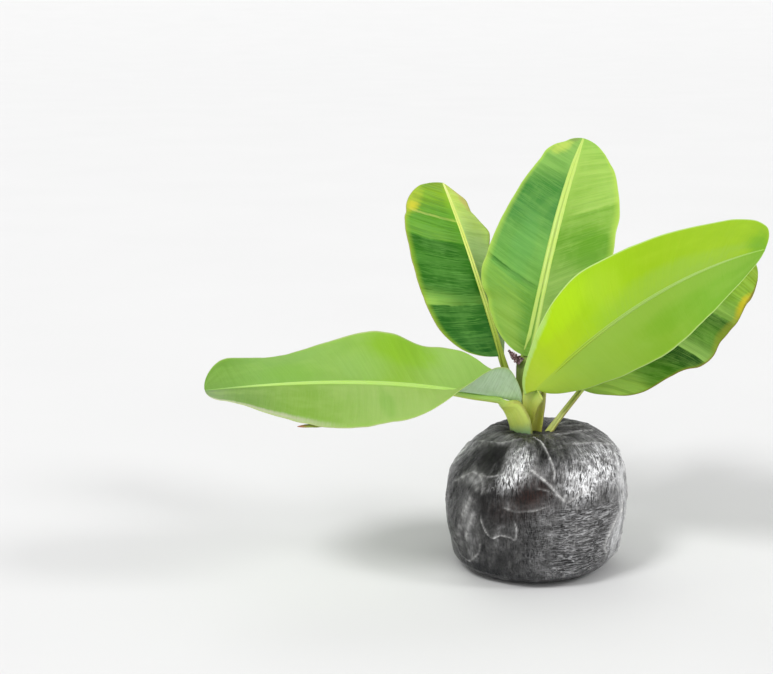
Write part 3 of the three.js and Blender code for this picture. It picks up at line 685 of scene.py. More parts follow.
class Wrap:
    """Height of the film over the bag, and how much it shines white, on a grid of (run, angle)."""

    def __init__(self):
        self.run, self.z, self.r, self.lean = ball_path()
        self.angle = (2 * np.pi * np.arange(BALL_COLUMNS) / BALL_COLUMNS)[None, :]
        self.rows = self.run[:, None]
        self.radius = np.maximum(self.r, 6)[:, None]
        self.height = np.zeros((BALL_ROWS, BALL_COLUMNS))
        self.haze = np.zeros_like(self.height)
        self.rng = np.random.default_rng(21)

    def spots(self, patches):
        """Sum of soft patches, each its strength at the middle."""
        total = 0
        for strength, degrees, run, wide, tall in patches:
            off, up = turned_from(self.angle, degrees) / wide, (self.rows - run) / tall
            total = total + strength * np.exp(-(off ** 2) - up ** 2)
        return total

    def creases(self, count, area, tilt, length, width, size, sharp=True, glow=0.0):
        """Adds short creases with random places in area (two angles in degrees, two runs in mm); tilt is the
        mean and spread of a crease's angle from upright."""
        rng, run = self.rng, self.run
        turns = BALL_COLUMNS / (2 * math.pi)
        for _ in range(count):
            a0, r0 = math.radians(rng.uniform(*area[:2])), rng.uniform(*area[2:])
            turn = math.radians(rng.normal(*tilt))
            long, wide, tall = rng.uniform(*length), rng.uniform(*width), rng.uniform(*size)
            bow = rng.normal(0, 0.01)
            i0, i1 = np.searchsorted(run, [r0 - long, r0 + long])
            if i1 - i0 < 2:
                continue
            radius = max(float(np.interp(r0, run, self.r)), 12)
            reach = (abs(math.sin(turn)) * long + 3 * wide + 2) / radius
            j = np.arange(int((a0 - reach) * turns), int((a0 + reach) * turns) + 2)[:BALL_COLUMNS]
            x = ((2 * np.pi * j / BALL_COLUMNS)[None, :] - a0) * radius
            y = (run[i0:i1] - r0)[:, None]
            u = x * math.sin(turn) + y * math.cos(turn)
            v = x * math.cos(turn) - y * math.sin(turn) - bow * u * u
            fade = np.maximum(0, 1 - (u / long) ** 2) ** 1.5
            crest = fade * (np.exp(-np.abs(v) / wide) if sharp else np.exp(-((v / wide) ** 2)))
            self.height[i0:i1, j % BALL_COLUMNS] += tall * crest
            if glow:
                self.haze[i0:i1, j % BALL_COLUMNS] += 0.45 * glow * crest * rng.uniform(0.1, 1)

    def fold(self, path, tall, wide, step, glow, blur):
        """A long fold along (degrees, run) points; with a step the film is a layer thicker on one side."""
        path = np.array(path, float)
        count = 10 * (len(path) - 1) + 1
        key, dense = np.arange(len(path)), np.linspace(0, len(path) - 1, count)
        window = np.hanning(9) / np.hanning(9).sum()
        padded = (np.pad(np.interp(dense, key, v), 4, mode="reflect", reflect_type="odd") for v in path.T)
        a, r = (np.convolve(v, window, mode="valid") for v in padded)
        a = np.radians(a)
        middle = a.mean()
        turn = (self.angle - middle + np.pi) % (2 * np.pi) - np.pi + middle
        shape = self.height.shape
        best, signed, ends = np.full(shape, 1e9), np.zeros(shape), np.zeros(shape)
        for k in range(count - 1):
            dx, dy = (a[k + 1] - a[k]) * self.radius, r[k + 1] - r[k]
            n = np.maximum(np.hypot(dx, dy), 1e-6)
            x, y = (turn - a[k]) * self.radius, self.rows - r[k]
            f = np.clip((x * dx + y * dy) / n ** 2, 0, 1)
            ex, ey = x - f * dx, y - f * dy
            d = np.hypot(ex, ey)
            closer = d < best
            best = np.where(closer, d, best)
            signed = np.where(closer, (dx * ey - dy * ex) / n, signed)
            ends = np.where(closer, (k + f) / (count - 1), ends)
        fade = smooth(ends / 0.12) * smooth((1 - ends) / 0.12)
        waver = 1 + 0.35 * np.sin(ends * 23 + path[0, 0]) * np.sin(ends * 61 + path[0, 1])
        layer = smooth(signed / 1.2 + 0.5) * fade
        self.height += tall * np.exp(-best / wide) * fade * waver
        self.height += step * layer * np.exp(-((best / 14) ** 2))
        self.haze += 1.15 * glow * np.exp(-((best / (0.62 * blur)) ** 1.3)) * fade * waver
        if step > 0:
            self.haze += 0.22 * glow * layer * np.exp(-best / 5)


def wrapped_bag():
    wrap = Wrap()
    run, rows, crease = wrap.run, wrap.rows, wrap.creases
    # slow sags of slack film, long stretch creases, then short crinkles
    crease(30, (0, 360, 20, 150), (0, 60), (25, 50), (7, 12), (-0.9, 1.0), sharp=False)
    crease(110, (0, 360, 10, 165), (0, 28), (14, 38), (1.2, 2.4), (-0.6, 0.7), glow=0.12)
    crease(520, (0, 360, 5, 160), (0, 20), (5, 17), (0.8, 1.2), (-0.22, 0.3), glow=0.05)
    # tight upright creases of the bright shoulders, level ones low on the right, slanting ones on the left;
    # the white haze of the first two is partly the film's own and partly painted highlight
    crease(160, (240, 270, 94, 134), (-6, 14), (4, 13), (0.55, 0.9), (0.2, 0.7), glow=0.3)
    crease(420, (283, 352, 80, 126), (10, 13), (4, 15), (0.55, 0.95), (0.2, 0.7), glow=0.26)
    crease(130, (282, 350, 112, 140), (4, 14), (6, 16), (0.6, 1.0), (0.1, 0.5), glow=0.12)
    crease(260, (270, 338, 22, 80), (84, 8), (4, 13), (0.55, 0.8), (0.1, 0.42), glow=0.2)
    crease(60, (196, 216, 64, 112), (38, 8), (8, 20), (0.7, 1.1), (-0.6, 0.5), glow=0.1)
    crease(90, (205, 262, 22, 72), (2, 12), (10, 26), (0.8, 1.8), (-0.25, 0.35), glow=0.16)
    crease(130, (245, 300, 4, 30), (0, 5), (8, 16), (0.6, 0.9), (-0.2, 0.3), glow=0.06)
    # the sides and the back
    for low in range(0, 200, 40):
        tilt = wrap.rng.uniform(-14, 14)
        crease(70, (low - 10, low + 48, 20, 70), (90 + tilt, 12), (5, 16), (0.6, 1.0), (0.1, 0.4), glow=0.16)
        crease(90, (low - 10, low + 48, 70, 135), (tilt, 14), (5, 16), (0.6, 1.0), (0.15, 0.6), glow=0.2)
    # pleats that gather the film towards the stem
    gather = smooth((rows - GATHER_START) / 24) * (1 - 0.6 * smooth((rows - run[-1] + 14) / 10))
    for a0 in np.cumsum(wrap.rng.uniform(5, 13, TOP_PLEATS)) % 360:
        size, wide = wrap.rng.uniform(0.5, 1.5), wrap.rng.uniform(0.9, 1.9)
        off = np.radians(np.abs(turned_from(wrap.angle, a0 + 4 * np.sin(rows / 11 + a0)))) * wrap.radius
        crest = gather * size * np.exp(-off / wide)
        wrap.height += crest
        wrap.haze += 0.16 * crest
    for spec in FOLDS:
        wrap.fold(*spec)
    wrap.height -= wrap.spots(DENTS)
    wrap.height *= smooth((wrap.z[:, None] + 0.2) / 5) * 0.9
    # the last ring of film closes in flat under the stalks
    wrap.height *= 1 - 0.7 * smooth((rows - run[-1] + 8) / 6)
    return wrap


def root_ball(look):
    wrap = wrapped_bag()
    angle, rows, run, spots = wrap.angle, wrap.rows, wrap.run, wrap.spots
    z, r, lean = wrap.z[:, None], wrap.r[:, None], wrap.lean[:, None]
    top = smooth((rows - run[-1] + 45) / 20)
    radius = r + lean / 2 * np.cos(angle) + lump(angle, z) * (1 - top)
    height = np.clip(wrap.height, LOWEST, HIGHEST)
    # move along the surface's own normal
    out_r, out_z = np.gradient(wrap.z), -np.gradient(wrap.r)
    scale = np.hypot(out_r, out_z)
    radius = np.maximum(radius + (out_r / scale)[:, None] * height, 0.4)
    z = np.maximum(z + (out_z / scale)[:, None] * height, 0)
    points = np.stack([radius * np.cos(angle), radius * np.sin(angle), z + 0 * angle], -1)
    level = smooth((LEVEL_TO - rows) / 14) * smooth((rows - LEVEL_FROM) / 12)
    level = level * np.clip(spots(LEVEL_CRINKLES), 0, 1)
    pull = np.interp(np.degrees(angle), *zip(*PULL))
    turned = angle - pull * PULL_REACH * np.tanh((rows - SHOULDER) / PULL_REACH) / SKIN_RADIUS
    numbers = {
        "round_x": SKIN_RADIUS * np.cos(turned), "round_y": SKIN_RADIUS * np.sin(turned), "run": rows,
        "haze": wrap.haze, "milky": spots(MILKY), "soil": np.clip(spots(SOIL), 0, 1),
        "dark": np.clip(spots(PAINTED_SHADE), 0, 1), "glint": 1.5 * np.clip(spots(GLINT), 0, 1.3),
        "level": level, "low": smooth((60 - z) / 60)}
    return tube("bagged_root_ball", points, look, numbers, turned=False)


# Materials. Colours are given as red, green and blue on a screen, from 0 to 255.

TONE = 0.80  # share of a colour that is kept, because the studio's light lifts a plain surface above its own
FLESH = dict(Subsurface_Weight=0.12, Subsurface_Radius=(0.5, 1.0, 0.25), Subsurface_Scale=0.0012)
JUICE = dict(Subsurface_Weight=0.15, Subsurface_Radius=(0.6, 1.0, 0.3), Subsurface_Scale=0.0015)
SKIN_RELIEF = 0.0004  # depth of the finest relief of leaves and stalks in m
SUN_BLEACHED = (255, 255, 205)  # what the pale blotches of a stalk are multiplied by
VEIN_CONTRAST = 0.15


def tint(rgb, tone=TONE):
    """Linear colour from screen values."""
    scaled = [v / 255 for v in rgb]
    return (*(tone * (v / 12.92 if v <= 0.04045 else ((v + 0.055) / 1.055) ** 2.4) for v in scaled), 1.0)


def tinted(stops):
    """Ramp stops (place, colour) from (place, red, green, blue)."""
    return [(at, tint(rgb)) for at, *rgb in stops]


class Field:
    """A value that varies over a surface; arithmetic on it adds math nodes to its material."""

    def __init__(self, look, socket):
        self.look, self.socket = look, socket

    def __add__(self, other):
        return self.look.math("ADD", self, other)

    def __sub__(self, other):
        return self.look.math("SUBTRACT", self, other)

    def __rsub__(self, other):
        return self.look.math("SUBTRACT", other, self)

    def __mul__(self, other):
        return self.look.math("MULTIPLY", self, other)

    def __truediv__(self, other):
        return self.look.math("DIVIDE", self, other)

    def __abs__(self):
        return self.look.math("ABSOLUTE", self)

    def largest(self, other):
        return self.look.math("MAXIMUM", self, other)

    def spread(self, low, high, to_low=0.0, to_high=1.0):
        """Eases from to_low where this is low to to_high where it is high; low may be the larger one."""
        node = self.look.node("MapRange")
        node.interpolation_type = "SMOOTHSTEP"
        keys = "Value", "From Min", "From Max", "To Min", "To Max"
        for value, key in zip((self, low, high, to_low, to_high), keys):
            self.look.feed(value, node.inputs[key])
        return Field(self.look, node.outputs["Result"])

    def ramp(self, stops):
        node = self.look.node("ValToRGB")
        node.color_ramp.interpolation = "EASE"
        points = node.color_ramp.elements
        while len(points) < len(stops):
            points.new(0.5)
        for point, (at, paint) in zip(points, stops):
            point.position, point.color = at, paint
        self.look.feed(self, node.inputs["Fac"])
        return Field(self.look, node.outputs["Color"])


class Look:
    """A Principled material, with short ways to wire its nodes."""

    def __init__(self, name, **fixed):
        self.material = bpy.data.materials.new(name)
        self.material.use_nodes = True
        self.tree = self.material.node_tree
        self.shader = self.tree.nodes["Principled BSDF"]
        for key, value in fixed.items():
            self.shader.inputs[key.replace("_", " ")].default_value = value

    def node(self, kind):
        return self.tree.nodes.new("ShaderNode" + kind)

    def feed(self, value, socket):
        if isinstance(value, Field):
            self.tree.links.new(value.socket, socket)
        else:
            socket.default_value = value

    def number(self, name):
        """The mesh's own number of this name."""
        node = self.node("Attribute")
        node.attribute_name = name
        return Field(self, node.outputs["Fac"])

    def numbers(self, names):
        return [self.number(name) for name in names.split()]

    def math(self, operation, *values):
        node = self.node("Math")
        node.operation = operation
        for value, socket in zip(values, node.inputs):
            self.feed(value, socket)
        return Field(self, node.outputs[0])

    def place(self, x, y, z):
        node = self.node("CombineXYZ")
        for value, socket in zip((x, y, z), node.inputs):
            self.feed(value, socket)
        return Field(self, node.outputs[0])

    def coordinate(self):
        return Field(self, self.node("TexCoord").outputs["Object"])

    def noise(self, where, scale, detail, roughness, distortion=0.0):
        node = self.node("TexNoise")
        self.feed(where, node.inputs["Vector"])
        fixed = dict(Scale=scale, Detail=detail, Roughness=roughness, Distortion=distortion)
        for key, value in fixed.items():
            node.inputs[key].default_value = value
        return Field(self, node.outputs["Fac"])

    def grit(self, scale, detail, roughness, distortion=0.0):
        """Noise in the plant's own space, scale in waves a metre."""
        return self.noise(self.coordinate(), scale, detail, roughness, distortion)

    def mix(self, share, a, b, blend="MIX"):
        node = self.node("Mix")
        node.data_type, node.blend_type = "RGBA", blend
        for value, socket in zip((share, a, b), (node.inputs[0], node.inputs[6], node.inputs[7])):
            self.feed(value, socket)
        return Field(self, node.outputs[2])

    def bump(self, height, strength, distance):
        node = self.node("Bump")
        self.feed(height, node.inputs["Height"])
        node.inputs["Strength"].default_value = strength
        node.inputs["Distance"].default_value = distance
        self.tree.links.new(node.outputs["Normal"], self.shader.inputs["Normal"])

    def paint(self, body, roughness):
        self.feed(body, self.shader.inputs["Base Color"])
        self.feed(roughness, self.shader.inputs["Roughness"])
        return self.material


def vein_streaks(look, seed):
    """Streaks along the side veins: broken pleats, and the finer lines between them."""
    vein, away = look.numbers("vein away")

    def lines(thin, long, seed, detail):
        return look.noise(look.place(vein * thin, away * long, seed), 1.0, detail, 0.6)

    wide, fine = lines(0.17, 0.016, seed, 3.0), lines(0.62, 0.022, seed + 5, 2.0)
    both = (fine - 0.5) * 0.7 + wide
    return both.spread(0.5 - VEIN_CONTRAST, 0.5 + VEIN_CONTRAST), fine


def blade_face(name, seed, left, right, dark, light, streaks, shine, margin, tip, patches=(), pleat_shade_bands=()):
    """Material of one face of a blade. left and right are ramps along the rib. dark and light are linear
    colours of the streaks in the left and the right half, and streaks how strong they are there. margin is a
    colour, where it starts and its share, and tip the colour of the very edge. patches are (colour, along,
    across, their reaches, share). The bands paint light and shade on broad pleats that follow a vein, lit on
    one side and shaded on the other: (vein, half, how they fade in across it, then colour, reach and share
    beyond the vein and the same before it)."""
    look = Look(name, Specular_IOR_Level=0.12, **FLESH)
    t, across, vein = look.numbers("along across vein")
    off_rib, on_right = abs(across), across.spread(-0.02, 0.02)
    body = look.mix(on_right, t.ramp(tinted(left)), t.ramp(tinted(right)))
    darker, lighter = look.mix(on_right, *dark), look.mix(on_right, *light)
    streak, fine = vein_streaks(look, seed)
    wander = look.noise(look.place(t * 7.0, across * 2.6, seed + 9), 1.0, 3.0, 0.6)
    # painted light and shade of broad pleats, lit on one side and shaded on the other, with ragged edges
    ragged = vein + (wander - 0.5) * 6.0 + (fine - 0.5) * 4.0
    for at, half, fade, *sides in pleat_shade_bands:
        off = ragged - at
        side = (on_right if half > 0 else 1.0 - on_right) * off_rib.spread(*fade)
        for paint, reach, share in (sides[:3], (sides[3], -sides[4], sides[5])):
            here = off.spread(0.0, math.copysign(1.2, reach)) * off.spread(reach, reach * 0.15)
            body = look.mix(here * side * share, body, tint(paint))
    # dark and light streaks, thin light hairs, and a slow change of tone
    strength = on_right * (streaks[1] - streaks[0]) + streaks[0]
    near_rib = strength * off_rib.spread(0.05, 0.22)
    hair = abs(fine - 0.56).spread(0.05, 0.015)
    body = look.mix(streak * near_rib, body, darker)
    body = look.mix(streak.spread(0.35, 0.0) * strength * 0.7, body, lighter)
    body = look.mix(hair * near_rib, body, lighter)
    body = look.mix(wander.spread(0.42, 0.72) * 0.3, body, lighter)
    for paint, t0, s0, t_reach, s_reach, share in patches:
        dt, ds = (t - t0) / t_reach, (across - s0) / s_reach
        far = dt * dt + ds * ds + (wander - 0.5) * 1.3 + (fine - 0.5)
        body = look.mix(far.spread(1.35, -0.1) * share, body, tint(paint))
    rim, rim_from, rim_share = margin
    body = look.mix(off_rib.spread(rim_from, 1.0) * rim_share, body, tint(rim))
    body = look.mix(off_rib.spread(0.972, 0.992) * 0.75, body, tint(tip))
    fleck = look.grit(900.0, 2.0, 0.7)
    body = look.mix(fleck.spread(0.66, 0.8) * 0.15, body, light[0])
    look.bump(fine * 0.8 + fleck * 0.12, 0.35, SKIN_RELIEF)
    return look.paint(body, wander * 0.22 + shine + fine * 0.1)


def stalk_skin(name, seed, rgb):
    """Material of a petiole and its midrib. rgb has the colours of its foot, sheath, neck and rib, of the
    channel, the keel and the brown of its edges, and may have others low on the rib and at its tip. The
    channel's colour is partly its own and partly painted shade."""
    look = Look(name, Specular_IOR_Level=0.25, **JUICE)
    run, around, above, away = look.numbers("run around above away")
    paints = {key: tint(value) for key, value in rgb.items()}
    rib, groove, brown = (paints[key] for key in ("rib", "groove", "brown"))
    skin = (run * 0.5 + 0.5).ramp([
        (0.05, paints["foot"]), (0.2, paints["sheath"]), (0.42, paints["neck"]),
        (0.56, paints.get("low", rib)), (0.75, rib), (0.9, rib), (1.0, paints.get("at_tip", rib))])
    skin = look.mix(above.spread(0.0, -0.25) * run.spread(-0.2, 0.1), skin, paints["under"])
    # the channel, wide on the petiole and narrow on the rib, in its colour with painted shade
    inside = abs(around).spread(run.spread(-0.1, 0.08, 0.62, 0.2), 0.04) * above.spread(0.2, 0.5)
    inside = inside * run.spread(1.0, 0.5, 0.2, 0.8) * run.spread(-0.4, 0.02, 0.3, 1.0)
    skin = look.mix(inside, skin, groove)
    lines = look.noise(look.place(around * 9.0, away * 0.02, seed), 1.0, 3.0, 0.6)
    skin = look.mix(lines.spread(0.5, 0.72) * 0.35, skin, groove)
    blotch, specks = look.grit(130.0, 3.0, 0.6), look.grit(520.0, 2.0, 0.6)
    pale = look.mix(1.0, skin, tint(SUN_BLEACHED, 1), "MULTIPLY")
    skin = look.mix(blotch.spread(0.45, 0.7) * 0.4, skin, pale)
    # brown edges and specks on the petiole
    edge = abs(around).spread(0.86, 0.99) * run.spread(0.0, -0.25)
    skin = look.mix(edge * blotch.spread(0.3, 0.55, 0.25, 0.8), skin, brown)
    skin = look.mix(specks.spread(0.64, 0.72) * run.spread(0.0, -0.5) * 0.55, skin, brown)
    look.bump(lines + specks * 0.3, 0.35, SKIN_RELIEF)
    return look.paint(skin, blotch * 0.22 + 0.26)


def dry_skin(name, pale, mid, dark, at_tip=None):
    """Material of a withered piece, mottled, with another colour at its tip where one is given."""
    look = Look(name, Specular_IOR_Level=0.25)
    spots = look.grit(650.0, 4.0, 0.7)
    body = spots.ramp([(0.36, tint(dark)), (0.5, tint(mid)), (0.66, tint(pale))])
    if at_tip:
        body = look.mix(look.number("run").spread(0.55, 0.9), body, tint(at_tip))
    look.bump(spots, 0.6, 0.0006)
    return look.paint(body, spots * 0.3 + 0.5)


def bag_skin():
    """Dark bag under clear stretch film: grey haze, white creases, painted highlights on its crinkles,
    painted shade in its hollows and crinkles, and brown soil showing in one place.
    """
    look = Look("bag_under_film", Specular_IOR_Level=0.14, Coat_Weight=0.09, Coat_Roughness=0.05)
    run, round_x, round_y = look.numbers("run round_x round_y")
    haze, milky, soil, dark, glint, level, low = look.numbers("haze milky soil dark glint level low")

    def crinkles(across, up, seed, distortion=0.5):
        """Noise drawn out along the bag or round it."""
        where = look.place(round_x * across, round_y * across, run * up + seed)
        return look.noise(where, 1.0, 2.0, 0.55, distortion)

    def lines(field, wide):
        """Thin lines where a noise field crosses its middle."""
        return abs(field - 0.5).spread(wide, wide * 0.25)

    def joined(upright, flat):
        """Upright crinkles everywhere but where the film is stretched level."""
        return upright * (1.0 - level) + flat * level

    def film(rgb):
        return tint(rgb, 1)

    upright, flat = crinkles(0.36, 0.065, 3.0), crinkles(0.05, 0.42, 8.0, 0.6)
    upright_b, flat_b = crinkles(0.64, 0.13, 13.0), crinkles(0.085, 0.68, 18.0)
    upright_c, flat_c = crinkles(0.48, 0.075, 23.0), crinkles(0.06, 0.5, 28.0)
    cloud, fine = look.grit(42.0, 4.0, 0.62, 0.8), look.grit(480.0, 3.0, 0.65)
    patchy = look.grit(120.0, 3.0, 0.6).spread(0.4, 0.6)
    chips = look.grit(300.0, 2.0, 0.6).spread(0.4, 0.54, 0.6, 1.0)
    broken = look.grit(170.0, 2.0, 0.5).spread(0.36, 0.58, 0.5, 1.0)
    line_up = lines(upright, 0.06).largest(lines(upright_b, 0.08) * 0.9) * chips
    line_flat = lines(flat, 0.04).largest(lines(flat_b, 0.05) * 0.8)
    line, crinkle_shade = joined(line_up, line_flat), joined(lines(upright_c, 0.07), lines(flat_c, 0.06))
    # the bag, bluer low down, with the soil, and painted shade in its hollows
    bag = look.mix(cloud.spread(0.4, 0.65), film((11, 10, 10)), film((30, 28, 27)))
    bag = look.mix(low * 0.7, bag, film((27, 29, 33)))
    bag = look.mix(soil * fine.spread(0.3, 0.6, 0.4, 0.9), bag, film((40, 20, 14)))
    bag = look.mix(dark, bag, film((5, 5, 5)))
    # the film: a thin veil, thicker where it is milky, with a painted sheen where it glints, and white along
    # its creases
    veil = cloud.spread(0.42, 0.72) * upright.spread(0.42, 0.7, 0.0, 0.05)
    veil = veil + milky * (upright.spread(0.34, 0.62, 0.3, 0.85) * cloud.spread(0.34, 0.58, 0.5, 1.0))
    veil = veil + glint * cloud.spread(0.36, 0.62, 0.0, 0.14)
    clear = 1.0 - dark.largest(soil) * 0.8
    body = look.mix(veil * clear, bag, look.mix(milky * 0.6, film((168, 167, 167)), film((228, 229, 231))))
    # painted shade: thin dark lines in the crinkles
    body = look.mix(crinkle_shade * (0.75 - milky * 1.3), body, film((7, 7, 7)))
    # painted highlights: white glints along the crinkles, strongest on the bright shoulders, then where the
    # film lies level, with a few everywhere
    shine = glint * (patchy * 0.78 + 0.37) + level * (patchy * 0.22 + 0.2)
    shine = shine + cloud.spread(0.5, 0.68, 0.0, 0.13)
    body = look.mix(line * shine * clear, body, film((246, 246, 248)))
    crease = haze * broken * fine.spread(0.3, 0.6, 0.5, 0.95) * cloud.spread(0.3, 0.6, 0.5, 1.0)
    body = look.mix(crease, body, film((226, 225, 224)))
    wave = joined(upright_b * 0.5 + upright, flat_b * 0.5 + flat)
    look.bump(wave + crinkle_shade * -0.15 + line * 0.2 + fine * 0.06, 1.0, 0.0012)
    return look.paint(body, cloud.spread(0.38, 0.62, 0.08, 0.2))


